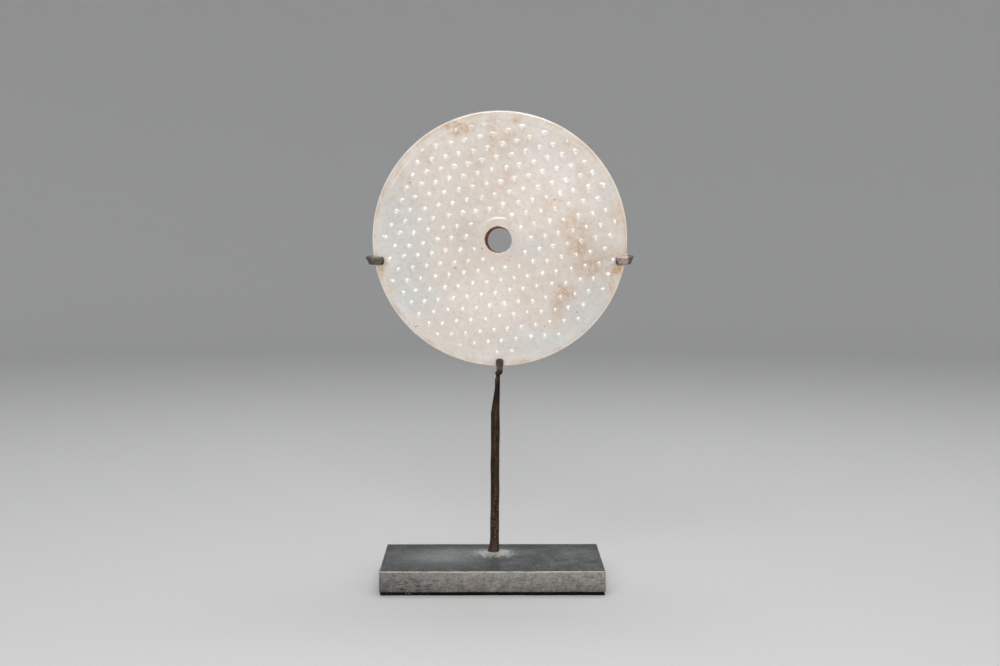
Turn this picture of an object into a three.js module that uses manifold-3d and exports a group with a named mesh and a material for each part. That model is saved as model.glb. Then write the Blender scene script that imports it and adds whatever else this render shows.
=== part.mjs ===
import * as THREE from "three";
import { RoundedBoxGeometry } from "three/addons/geometries/RoundedBoxGeometry.js";
import { mergeVertices } from "three/addons/utils/BufferGeometryUtils.js";
import Module from "manifold-3d";

// A jade bi disc on its metal display stand. Sizes are in millimetres and angles in degrees.
// The stand's underside is at z = 0, the disc's face is turned to -y, x = 0 is the disc's
// upright centre line, and y = 0 is the middle of the base block's depth.

// Disc
const discDiameter = 150;
const discThickness = 5;
const discCentreHeight = 201.3;
const rimArris = 0.6;
const rimBandWidth = 4.6;
const fieldSink = 0.45;
const fieldWallRun = 0.8;

// Hole, bored from the front face and narrower at the back
const holeMouthDiameter = 16.1;
const holeBackDiameter = 14.1;
const holeLeft = 0.65;
const holeDrop = 0.9;
const holeLean = 0.7;
const holeRingWidth = 4.75;

// Grains, low pointed bosses on a net with three directions of rows
const grainPitch = 8.45;
const grainRowPitch = 8.35;
const grainRowTurn = 9.4;
const grainNetAngle = 58.7;
const grainNetShift = 1.3;
const grainNetDrop = 3.5;
const grainNetFan = 0.085;
const grainDiameter = 4.4;
const grainHeight = 0.6;

// Straps that hold the disc
const strapThickness = 1.5;
const discClearance = 0.25;
const strapEndRounding = 1.4;
const mostRounding = 0.4;

// Cross strap behind the disc, with a clip bent round each side of it
const clipWidth = 4.8;
const backStrapWidth = 3.3;
const clipNarrowing = 4.5;
const clipDrop = 12.8;
const clipRoom = 1;
const clipProngLength = 6.7;
const leftClipRise = 0.5;
const rightClipRise = 1.5;

// Hook under the disc
const hookWidth = 4.45;
const hookWaistWidth = 3.7;
const hookWaistRun = 0.8;
const hookNeckWidth = 2.7;
const hookShift = -0.17;
const hookTailShift = -0.65;
const hookProngHeight = 4.3;
const hookDrop = 5.6;
const hookPinchClearance = 0.1;
const hookTailHeight = 20;
const hookNarrowing = 1.6;

// Post, a round rod that leans a little and is filed flat where the straps are brazed to it
const rodDiameter = 5.3;
const rodSetBack = 17.9;
const rodFootShift = -3.13;
const rodLean = 0.31;
const footWidening = 0.85;
const footSpread = 0.75;
const footFlareHeight = 11;
const filedDepth = 2.5;
const scarfDrop = 10.85;
const scarfLength = 7;
const taperDrop = 29;
const taperLength = 15;
const spineWidth = 3;
const tongueDrop = 4.8;
const tongueWidth = 2.1;
const shoulderLength = 0.8;
const rodOvertop = 1;

// Base block and the felt under it
const baseWidth = 128.4;
const baseDepth = 78;
const baseHeight = 12;
const baseShift = -4.6;
const baseArris = 0.5;
const feltThickness = 1.9;
const feltInset = 0.5;

// How finely the round forms are divided
const rimSides = 80;
const holeSides = 40;
const grainSides = 5;
const rodSides = 28;
const footRings = 6;
const bendSteps = 6;
const stationSpacing = 0.01;

// Places that follow from the sizes
const discRadius = discDiameter / 2;
const discBottom = discCentreHeight - discRadius;
const baseTop = feltThickness + baseHeight;
const filedFace = rodSetBack - rodDiameter / 2 + filedDepth;
const grainTop = discThickness / 2 - fieldSink + grainHeight;
const strapGap = Math.max(discThickness / 2, grainTop) + discClearance;
const strapOffset = strapGap + strapThickness / 2;
const discMiddle = filedFace - strapThickness - strapGap;
const clipHeight = discCentreHeight - clipDrop;
const rodTop = clipHeight + clipWidth / 2 + rightClipRise + rodOvertop;
const cutMargin = 2;

const jade = new THREE.MeshStandardMaterial({ color: 0xd9d2c6, roughness: 0.35, metalness: 0 });
const blockMetal = new THREE.MeshStandardMaterial({ color: 0x5b5a58, roughness: 0.5, metalness: 0.9 });
const rodMetal = new THREE.MeshStandardMaterial({ color: 0x5a4d40, roughness: 0.5, metalness: 0.8 });
const strapMetal = new THREE.MeshStandardMaterial({ color: 0x6b625b, roughness: 0.45, metalness: 0.8 });
const felt = new THREE.MeshStandardMaterial({ color: 0x0e0e0f, roughness: 1, metalness: 0 });

const wasm = await Module();
wasm.setup();

// A solid of a closed geometry, for joining and cutting
function solidOf(geometry) {
  const bare = geometry.clone();
  bare.deleteAttribute("normal");
  bare.deleteAttribute("uv");
  const merged = mergeVertices(bare, 1e-4);
  return new wasm.Manifold(new wasm.Mesh({
    numProp: 3,
    vertProperties: new Float32Array(merged.attributes.position.array),
    triVerts: new Uint32Array(merged.index.array),
  }));
}

// The geometry of a solid, with flat shaded faces
function geometryOf(solid) {
  const mesh = solid.getMesh();
  const geometry = new THREE.BufferGeometry();
  geometry.setAttribute("position", new THREE.BufferAttribute(mesh.vertProperties, 3));
  geometry.setIndex(new THREE.BufferAttribute(mesh.triVerts, 1));
  const faceted = geometry.toNonIndexed();
  faceted.computeVertexNormals();
  return faceted;
}

// Moves every vertex of a geometry to the place that a function gives for it
function reshape(geometry, place) {
  const position = geometry.attributes.position;
  const point = new THREE.Vector3();
  for (let k = 0; k < position.count; k += 1) {
    point.fromBufferAttribute(position, k);
    place(point);
    position.setXYZ(k, point.x, point.y, point.z);
  }
  geometry.computeVertexNormals();
  return geometry;
}

// A prism of an outline in the y-z plane, running from one x to another
function prismAlongX(outline, fromX, toX) {
  const shape = new THREE.Shape(outline.map(([y, z]) => new THREE.Vector2(y, z)));
  const prism = new THREE.ExtrudeGeometry(shape, { depth: toX - fromX, bevelEnabled: false });
  return prism.applyMatrix4(new THREE.Matrix4().set(0, 0, 1, fromX, 1, 0, 0, 0, 0, 1, 0, 0, 0, 0, 0, 1));
}

// A prism of an outline in the x-z plane, running from one y to another
function prismAlongY(outline, fromY, toY) {
  const shape = new THREE.Shape(outline.map(([x, z]) => new THREE.Vector2(x, z)));
  const prism = new THREE.ExtrudeGeometry(shape, { depth: toY - fromY, bevelEnabled: false });
  return prism.rotateX(Math.PI / 2).translate(0, toY, 0);
}

// A flat strip of metal bent along a flat path. toSpace turns a station of the path into a
// point, across is the direction of the strip's width, and widthAt gives that width.
function bentStrap(path, toSpace, across, widthAt) {
  const apart = (point, k, all) => k === 0 || point.distanceTo(all[k - 1]) > stationSpacing;
  const stations = path.getPoints(bendSteps).filter(apart);
  const last = stations.length - 1;
  const places = stations.map(toSpace);
  const normals = places.map((place, k) => {
    const ahead = places[Math.min(k + 1, last)].clone().sub(place).normalize();
    const behind = place.clone().sub(places[Math.max(k - 1, 0)]).normalize();
    return ahead.add(behind).cross(across).normalize();
  });
  const bar = new THREE.BoxGeometry(1, 1, 1, 1, 1, last);
  return reshape(bar, (point) => {
    const k = Math.round((point.z + 0.5) * last);
    const sideways = across.clone().multiplyScalar(point.x * widthAt(stations[k]));
    const thick = normals[k].clone().multiplyScalar(point.y * strapThickness);
    point.copy(places[k]).add(sideways).add(thick);
  });
}

// Stations near a strap's end, where its corners are rounded off
const roundingStops = [0.15, 0.45, 1].map((share) => share * strapEndRounding);

// The width of a strap at a distance from its rounded end
function roundedWidth(width, distance) {
  const radius = Math.min(strapEndRounding, width * mostRounding);
  const short = THREE.MathUtils.clamp(1 - distance / radius, 0, 1);
  return width - 2 * radius * (1 - Math.sqrt(1 - short * short));
}

// The hook goes down from the tip of its prong, closes in on the disc's lower edge, turns
// round under it and goes up the filed face of the rod. It has a waist below the disc and is
// narrowest at its lowest point.
function hookStrap() {
  const prongTop = discBottom + hookProngHeight;
  const lowest = discBottom - hookDrop + strapThickness / 2;
  const pinch = discBottom + rimArris;
  const jaw = discThickness / 2 + hookPinchClearance + strapThickness / 2;
  const path = new THREE.Path();
  path.moveTo(-strapOffset, prongTop);
  roundingStops.forEach((stop) => path.lineTo(-strapOffset, prongTop - stop));
  path.lineTo(-jaw, pinch);
  path.absellipse(0, pinch, jaw, pinch - lowest, Math.PI, 2 * Math.PI, false);
  path.lineTo(strapOffset, prongTop);
  path.lineTo(strapOffset, discBottom + hookTailHeight);
  const toSpace = (station) => {
    const share = THREE.MathUtils.smoothstep(station.x, 0, strapOffset);
    const x = THREE.MathUtils.lerp(hookShift, hookTailShift, share);
    return new THREE.Vector3(x, discMiddle + station.x, station.y);
  };
  const widthAt = (station) => {
    if (station.x > 0) return hookNeckWidth;
    const aboveNeck = THREE.MathUtils.smoothstep(station.y - lowest, 0, hookNarrowing);
    const aboveWaist = THREE.MathUtils.smoothstep(station.y - discBottom, -hookWaistRun, hookWaistRun);
    const waist = THREE.MathUtils.lerp(hookNeckWidth, hookWaistWidth, aboveNeck);
    return roundedWidth(THREE.MathUtils.lerp(waist, hookWidth, aboveWaist), prongTop - station.y);
  };
  const geometry = bentStrap(path, toSpace, new THREE.Vector3(1, 0, 0), widthAt);
  const mesh = new THREE.Mesh(geometry, strapMetal);
  mesh.name = "hook_strap";
  return mesh;
}

// The cross strap runs level behind the disc. Each end is bent forward round the disc's
// edge as a clip and widens downwards there, and its back rises a little above the prong.
function crossStrap() {
  const bend = Math.sqrt(discRadius ** 2 - clipDrop ** 2) + clipRoom;
  const tip = bend - clipProngLength;
  const path = new THREE.Path();
  path.moveTo(-tip, -strapOffset);
  roundingStops.forEach((stop) => path.lineTo(-tip - stop, -strapOffset));
  path.lineTo(-bend, -strapOffset);
  path.absarc(-bend, 0, strapOffset, 1.5 * Math.PI, 0.5 * Math.PI, true);
  path.absarc(bend, 0, strapOffset, 0.5 * Math.PI, -0.5 * Math.PI, true);
  [...roundingStops].reverse().forEach((stop) => path.lineTo(tip + stop, -strapOffset));
  path.lineTo(tip, -strapOffset);
  const fullWidth = (station) => {
    const share = THREE.MathUtils.smoothstep(station.y + strapOffset, 0, clipNarrowing);
    return THREE.MathUtils.lerp(clipWidth, backStrapWidth, share);
  };
  const toSpace = (station) => {
    const side = THREE.MathUtils.clamp(0.5 + station.x / (2 * bend), 0, 1);
    const rise = THREE.MathUtils.lerp(leftClipRise, rightClipRise, side);
    const back = (station.y + strapOffset) / (2 * strapOffset);
    const top = clipHeight + clipWidth / 2 + rise * back;
    return new THREE.Vector3(station.x, discMiddle + station.y, top - fullWidth(station) / 2);
  };
  const widthAt = (station) => {
    const straight = station.y < 0 ? Math.abs(station.x) - tip : strapEndRounding;
    return roundedWidth(fullWidth(station), straight);
  };
  const geometry = bentStrap(path, toSpace, new THREE.Vector3(0, 0, 1), widthAt);
  const mesh = new THREE.Mesh(geometry, strapMetal);
  mesh.name = "cross_strap";
  return mesh;
}

// Places of the grains on a face, from the disc's centre. The rows fan out a little
// across the disc, as rows laid out by eye do.
function grainPlaces() {
  const turn = THREE.MathUtils.degToRad(grainRowTurn);
  const rise = THREE.MathUtils.degToRad(grainRowTurn + grainNetAngle);
  const reach = Math.ceil(discDiameter / Math.min(grainPitch, grainRowPitch));
  const inner = holeMouthDiameter / 2 + holeRingWidth + grainDiameter / 4;
  const outer = discRadius - rimBandWidth - grainDiameter / 4;
  const places = [];
  for (let i = -reach; i <= reach; i += 1) {
    for (let j = -reach; j <= reach; j += 1) {
      const fan = grainNetFan * (i * j + (i * i + j * j) / 3);
      const x = grainNetShift + grainPitch * i * Math.cos(turn) + grainRowPitch * j * Math.cos(rise);
      const z = grainPitch * i * Math.sin(turn) + grainRowPitch * j * Math.sin(rise) + fan - grainNetDrop;
      const fromHole = Math.hypot(x + holeLeft, z + holeDrop);
      if (fromHole > inner && Math.hypot(x, z) < outer) places.push([x, z]);
    }
  }
  return places;
}

// The grains of one face. facing is -1 for the front face and 1 for the back one,
// where the same net is seen mirrored.
function grains(facing) {
  const fieldFace = discThickness / 2 - fieldSink;
  const root = grainHeight / 2;
  const spread = grainDiameter / 2 * (grainHeight + root) / grainHeight;
  const cone = new THREE.ConeGeometry(spread, grainHeight + root, grainSides);
  cone.translate(0, fieldFace + (grainHeight - root) / 2, 0);
  if (facing < 0) cone.rotateX(Math.PI);
  const solid = solidOf(cone);
  return grainPlaces().map(([x, z]) => solid.translate([-facing * x, 0, z]));
}

// The turned blank: a sunk field within a flat rim band, with its edges bevelled
function discBlank() {
  const face = discThickness / 2;
  const bandInside = discRadius - rimBandWidth;
  const half = [
    [0, face - fieldSink],
    [bandInside - fieldWallRun, face - fieldSink],
    [bandInside, face],
    [discRadius - rimArris, face],
    [discRadius, face - rimArris],
  ];
  const front = half.map(([r, y]) => new THREE.Vector2(r, -y));
  const back = half.map(([r, y]) => new THREE.Vector2(r, y)).reverse();
  return new THREE.LatheGeometry([...front, ...back], rimSides);
}

// The tapering bore, which leans sideways from the front face to the back
function bore() {
  const length = discThickness + 2 * cutMargin;
  const drum = new THREE.CylinderGeometry(1, 1, length, holeSides);
  return reshape(drum, (point) => {
    const share = 0.5 + point.y / discThickness;
    const radius = THREE.MathUtils.lerp(holeMouthDiameter, holeBackDiameter, share) / 2;
    point.x = point.x * radius - holeLeft + holeLean * share;
    point.z = point.z * radius - holeDrop;
  });
}

function biDisc() {
  const ringRadius = holeMouthDiameter / 2 + holeRingWidth;
  const ring = new THREE.CylinderGeometry(ringRadius, ringRadius, discThickness, holeSides);
  ring.translate(-holeLeft, 0, -holeDrop);
  const raised = [discBlank(), ring].map(solidOf);
  const carved = wasm.Manifold.union([...raised, ...grains(-1), ...grains(1)]);
  const mesh = new THREE.Mesh(geometryOf(carved.subtract(solidOf(bore()))), jade);
  mesh.name = "bi_disc";
  mesh.position.set(0, discMiddle, discCentreHeight);
  return mesh;
}

// How far the rod's foot has spread at a height, from 1 at the block down to 0 above it
function footFlare(z) {
  return Math.max(0, 1 - (z - baseTop) / footFlareHeight) ** 2;
}

// The sideways place of the leaning rod's axis at a height
function rodAxis(z) {
  return rodFootShift + (z - baseTop) * Math.tan(THREE.MathUtils.degToRad(rodLean));
}

function post() {
  const levels = [];
  for (let k = 0; k <= footRings; k += 1) levels.push(baseTop + footFlareHeight * k / footRings);
  levels.push(rodTop);
  const last = levels.length - 1;
  const bar = new THREE.CylinderGeometry(1, 1, 1, rodSides, last).rotateX(Math.PI / 2);
  reshape(bar, (point) => {
    const z = levels[Math.round((point.z + 0.5) * last)];
    const flare = footFlare(z);
    const radius = rodDiameter / 2 + footWidening * flare;
    point.set(rodAxis(z) - footSpread * flare + point.x * radius, rodSetBack + point.y * radius, z);
  });

  const front = rodSetBack - rodDiameter / 2;
  const scarfLow = discBottom - scarfDrop;
  const cutTop = rodTop + cutMargin;
  const filing = prismAlongX([
    [front - filedDepth, scarfLow - scarfLength],
    [filedFace, scarfLow + scarfLength],
    [filedFace, cutTop],
    [front - filedDepth, cutTop],
  ], -rodDiameter + rodFootShift, rodDiameter + rodAxis(rodTop));

  const taperLow = discBottom - taperDrop;
  const taperHigh = taperLow + taperLength;
  const tongueLow = discBottom - tongueDrop;
  const shoulder = tongueLow + shoulderLength;
  const leftSide = (z, width) => rodAxis(z) + rodDiameter / 2 - width;
  const rodSide = leftSide(taperLow, rodDiameter);
  const step = leftSide(taperHigh, spineWidth) - rodSide;
  const taper = prismAlongY([
    [rodSide - step, taperLow - taperLength],
    [leftSide(taperHigh, spineWidth), taperHigh],
    [leftSide(tongueLow, spineWidth), tongueLow],
    [leftSide(shoulder, tongueWidth), shoulder],
    [leftSide(cutTop, tongueWidth), cutTop],
    [rodSide - step, cutTop],
  ], front - cutMargin, rodSetBack + rodDiameter);

  const filed = solidOf(bar).subtract(solidOf(filing)).subtract(solidOf(taper));
  const mesh = new THREE.Mesh(geometryOf(filed), rodMetal);
  mesh.name = "post";
  return mesh;
}

function baseBlock() {
  const geometry = new RoundedBoxGeometry(baseWidth, baseDepth, baseHeight, 1, baseArris);
  const mesh = new THREE.Mesh(geometry, blockMetal);
  mesh.name = "base_block";
  mesh.position.set(baseShift, 0, feltThickness + baseHeight / 2);
  return mesh;
}

function feltPad() {
  const width = baseWidth - 2 * feltInset;
  const geometry = new THREE.BoxGeometry(width, baseDepth - 2 * feltInset, feltThickness);
  const mesh = new THREE.Mesh(geometry, felt);
  mesh.name = "felt_pad";
  mesh.position.set(baseShift, 0, feltThickness / 2);
  return mesh;
}

const stand = new THREE.Group();
stand.add(feltPad(), baseBlock(), post(), crossStrap(), hookStrap());

const model = new THREE.Group();
model.add(stand, biDisc());

export default model;
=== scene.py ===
"""A jade bi disc on its metal display stand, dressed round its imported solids.

Sizes are in millimetres and angles in degrees, unless a name says otherwise, and a mesh is
turned into metres when it is finished. The frame is that of the solids: +Z is up, the
disc's front face looks along -Y, and the block stands on z = 0.
"""

from __future__ import annotations

import logging
import math
from dataclasses import dataclass, field
from enum import Enum
from typing import Sequence, Union

import bmesh
import bpy
import numpy as np
from mathutils import Matrix, Vector


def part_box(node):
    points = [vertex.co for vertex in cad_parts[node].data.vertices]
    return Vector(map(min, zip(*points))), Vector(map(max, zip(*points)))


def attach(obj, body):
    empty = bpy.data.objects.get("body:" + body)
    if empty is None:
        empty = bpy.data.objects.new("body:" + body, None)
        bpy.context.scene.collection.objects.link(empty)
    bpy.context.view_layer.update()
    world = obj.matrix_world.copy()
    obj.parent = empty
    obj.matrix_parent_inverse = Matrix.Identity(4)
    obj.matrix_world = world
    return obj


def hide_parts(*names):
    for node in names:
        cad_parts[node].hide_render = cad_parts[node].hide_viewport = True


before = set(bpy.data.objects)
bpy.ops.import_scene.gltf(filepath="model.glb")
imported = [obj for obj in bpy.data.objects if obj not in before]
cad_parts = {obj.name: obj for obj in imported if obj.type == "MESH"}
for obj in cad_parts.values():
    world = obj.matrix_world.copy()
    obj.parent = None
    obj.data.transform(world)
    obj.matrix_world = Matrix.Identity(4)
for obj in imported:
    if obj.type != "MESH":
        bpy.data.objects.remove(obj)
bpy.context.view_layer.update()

MM = 0.001
PICTURE_WIDTH_PX = 1000
SENSOR_WIDTH = 36.0
BEND_STEPS = 18

log = logging.getLogger("bi_disc")

Colour = tuple[float, float, float]
Number = Union[float, "Wire"]


def smoothstep(value: np.ndarray, low: float, high: float) -> np.ndarray:
    """Rise smoothly from 0 at low to 1 at high.

    Args:
        value: What is compared.
        low: Where the rise begins.
        high: Where it ends.

    Returns:
        The share of the rise, from 0 to 1.
    """
    share = np.clip((value - low) / (high - low), 0.0, 1.0)
    return share * share * (3.0 - 2.0 * share)


@dataclass(frozen=True)
class Box:
    """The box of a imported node, in millimetres.

    Attributes:
        low: Its lowest corner.
        high: Its highest corner.
    """

    low: Vector
    high: Vector

    @classmethod
    def of(cls, node: str) -> Box:
        """Measure a node.

        Args:
            node: The node's name.

        Returns:
            Its box.
        """
        low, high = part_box(node)
        return cls(low / MM, high / MM)

    @property
    def middle(self) -> Vector:
        """The middle of the box."""
        return (self.low + self.high) / 2

    @property
    def size(self) -> Vector:
        """The box's length along each axis."""
        return self.high - self.low


class Wire:
    """A value or a colour on its way between shader nodes, which can be reckoned with."""

    def __init__(self, board: Board, socket: bpy.types.NodeSocket) -> None:
        """Hold an output socket.

        Args:
            board: The board that the node is on.
            socket: The output socket.
        """
        self.board = board
        self.socket = socket

    def _with(self, operation: str, first: Number, second: Number) -> Wire:
        """Join two values by a Math node's operation."""
        return self.board.node("ShaderNodeMath", {"operation": operation}, {0: first, 1: second})

    def __add__(self, other: Number) -> Wire:
        """This value plus another."""
        return self._with("ADD", self, other)

    def __sub__(self, other: Number) -> Wire:
        """This value less another."""
        return self._with("SUBTRACT", self, other)

    def __rsub__(self, other: Number) -> Wire:
        """Another value less this one."""
        return self._with("SUBTRACT", other, self)

    def __mul__(self, other: Number) -> Wire:
        """This value times another."""
        return self._with("MULTIPLY", self, other)

    def __abs__(self) -> Wire:
        """This value without its sign."""
        return self._with("ABSOLUTE", self, 0.0)

    __radd__ = __add__
    __rmul__ = __mul__

    def most(self, other: Number) -> Wire:
        """The larger of this value and another."""
        return self._with("MAXIMUM", self, other)

    def ease(self, low: float, high: float) -> Wire:
        """Rise smoothly from 0 to 1.

        Args:
            low: The value where the rise begins.
            high: The value where it ends, which may be below low.

        Returns:
            The share of the rise.
        """
        settings = {"interpolation_type": "SMOOTHSTEP"}
        if low < high:
            return self.board.node("ShaderNodeMapRange", settings, {0: self, 1: low, 2: high})
        return 1.0 - self.board.node("ShaderNodeMapRange", settings, {0: self, 1: high, 2: low})


class Board:
    """The nodes of one material, with places in millimetres."""

    def __init__(self, name: str) -> None:
        """Start an empty material.

        Args:
            name: The material's name.
        """
        self.material = bpy.data.materials.new(name)
        self.material.use_nodes = True
        self.tree = self.material.node_tree
        self.tree.nodes.clear()
        coordinates = self.node("ShaderNodeTexCoord", {}, {}, "Object")
        self.place = self.vector("SCALE", coordinates, scale=1.0 / MM)
        split = self.tree.nodes.new("ShaderNodeSeparateXYZ")
        self.tree.links.new(self.place.socket, split.inputs[0])
        self.x, self.y, self.z = (Wire(self, socket) for socket in split.outputs)

    def node(self, kind: str, settings: dict, inputs: dict, output: int | str = 0) -> Wire:
        """Add any node.

        Args:
            kind: The node's type.
            settings: Its own settings, which are set first.
            inputs: A value or a wire for each socket, by the socket's place or name.
            output: The place or name of the output that is wanted.

        Returns:
            The output as a wire.
        """
        made = self.tree.nodes.new(kind)
        for name, value in settings.items():
            setattr(made, name, value)
        for socket, value in inputs.items():
            if isinstance(value, Wire):
                self.tree.links.new(value.socket, made.inputs[socket])
            elif value is not None:
                made.inputs[socket].default_value = value
        return Wire(self, made.outputs[output])

    def vector(self, operation: str, first: object, second: object = None, scale: float = 1.0) -> Wire:
        """Reckon with vectors.

        Args:
            operation: The Vector Math node's operation.
            first: The first vector or wire.
            second: The second vector or wire, where there is one.
            scale: The factor of a SCALE.

        Returns:
            The vector, or its length where that is asked for.
        """
        inputs = {0: first, 1: second}
        if operation == "SCALE":
            inputs = {0: first, "Scale": scale}
        output = "Value" if operation == "LENGTH" else "Vector"
        return self.node("ShaderNodeVectorMath", {"operation": operation}, inputs, output)

    def stretched(self, x: float, y: float, z: float) -> Wire:
        """The place with each axis multiplied by a factor."""
        return self.vector("MULTIPLY", self.place, (x, y, z))

    def noise(
        self,
        size: float,
        detail: float = 2.0,
        roughness: float = 0.5,
        place: Wire | None = None,
        shift: float = 0.0,
    ) -> Wire:
        """A cloudy pattern.

        Args:
            size: The breadth of a cloud.
            detail: How many finer layers it has.
            roughness: How strong the finer layers are.
            place: Where it is read, or the plain place.
            shift: Moves the pattern, so that two of them differ.

        Returns:
            A value about 0.5.
        """
        where = place or self.place
        if shift:
            where = self.vector("ADD", where, (shift, shift * 0.7, -shift))
        values = {"Vector": where, "Scale": 1.0 / size, "Detail": detail, "Roughness": roughness}
        return self.node("ShaderNodeTexNoise", {}, values)

    def warped(self, size: float, amount: float) -> Wire:
        """The place moved about by a cloudy pattern."""
        values = {"Vector": self.place, "Scale": 1.0 / size, "Detail": 3.0}
        cloud = self.node("ShaderNodeTexNoise", {}, values, "Color")
        centred = self.vector("SUBTRACT", cloud, (0.5, 0.5, 0.5))
        return self.vector("ADD", self.place, self.vector("SCALE", centred, scale=amount))

    def attribute(self, name: str) -> Wire:
        """A value that a mesh holds at its points."""
        return self.node("ShaderNodeAttribute", {"attribute_name": name}, {}, "Fac")

    def mix(self, share: Number, first: object, second: object, blend: str = "MIX") -> Wire:
        """Mix two colours.

        Args:
            share: How much of the second colour shows.
            first: The first colour or wire.
            second: The second colour or wire.
            blend: The way that they are mixed.

        Returns:
            The mixed colour.
        """
        colours = [c if isinstance(c, Wire) else (*c, 1.0) for c in (first, second)]
        settings = {"data_type": "RGBA", "blend_type": blend}
        return self.node("ShaderNodeMix", settings, {0: share, 6: colours[0], 7: colours[1]}, 2)

    def tinted(self, colour: Wire, *layers: tuple[Number, Colour | Wire]) -> Wire:
        """Lay tints over a colour, one after another.

        Args:
            colour: The colour under them.
            layers: How much of each tint shows, and the tint, from the lowest up.

        Returns:
            The finished colour.
        """
        for share, tint in layers:
            colour = self.mix(share, colour, tint)
        return colour

    def bump(self, height: Wire, distance: float, under: Wire | None = None) -> Wire:
        """Roughen a surface.

        Args:
            height: The height pattern, from 0 to 1.
            distance: The height in millimetres that 1 stands for.
            under: The bump below this one, where there is one.

        Returns:
            The surface's direction.
        """
        inputs = {"Height": height, "Distance": distance * MM, "Strength": 1.0}
        if under:
            inputs["Normal"] = under
        return self.node("ShaderNodeBump", {}, inputs)

    def surface(self, **inputs: object) -> bpy.types.Material:
        """Finish the material with a principled shader.

        Args:
            inputs: The shader's sockets, with _ for each space in their names.

        Returns:
            The material.
        """
        named = {name.replace("_", " "): value for name, value in inputs.items()}
        shader = self.node("ShaderNodeBsdfPrincipled", {}, named)
        self.node_output(shader)
        return self.material

    def node_output(self, shader: Wire) -> None:
        """Send a shader to the material's output."""
        output = self.tree.nodes.new("ShaderNodeOutputMaterial")
        self.tree.links.new(shader.socket, output.inputs["Surface"])


def rgba(colour: Colour) -> tuple[float, float, float, float]:
    """A colour with full cover."""
    return (*colour, 1.0)


@dataclass(frozen=True)
class Patch:
    """A soft oval patch in the jade, placed from the middle of the disc's front face.

    Attributes:
        across: Its distance to the right.
        up: Its height above the middle.
        width: Half its breadth.
        height: Half its height.
        strength: How strong it is, from 0 to 1.
    """

    across: float
    up: float
    width: float
    height: float
    strength: float = 1.0


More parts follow.
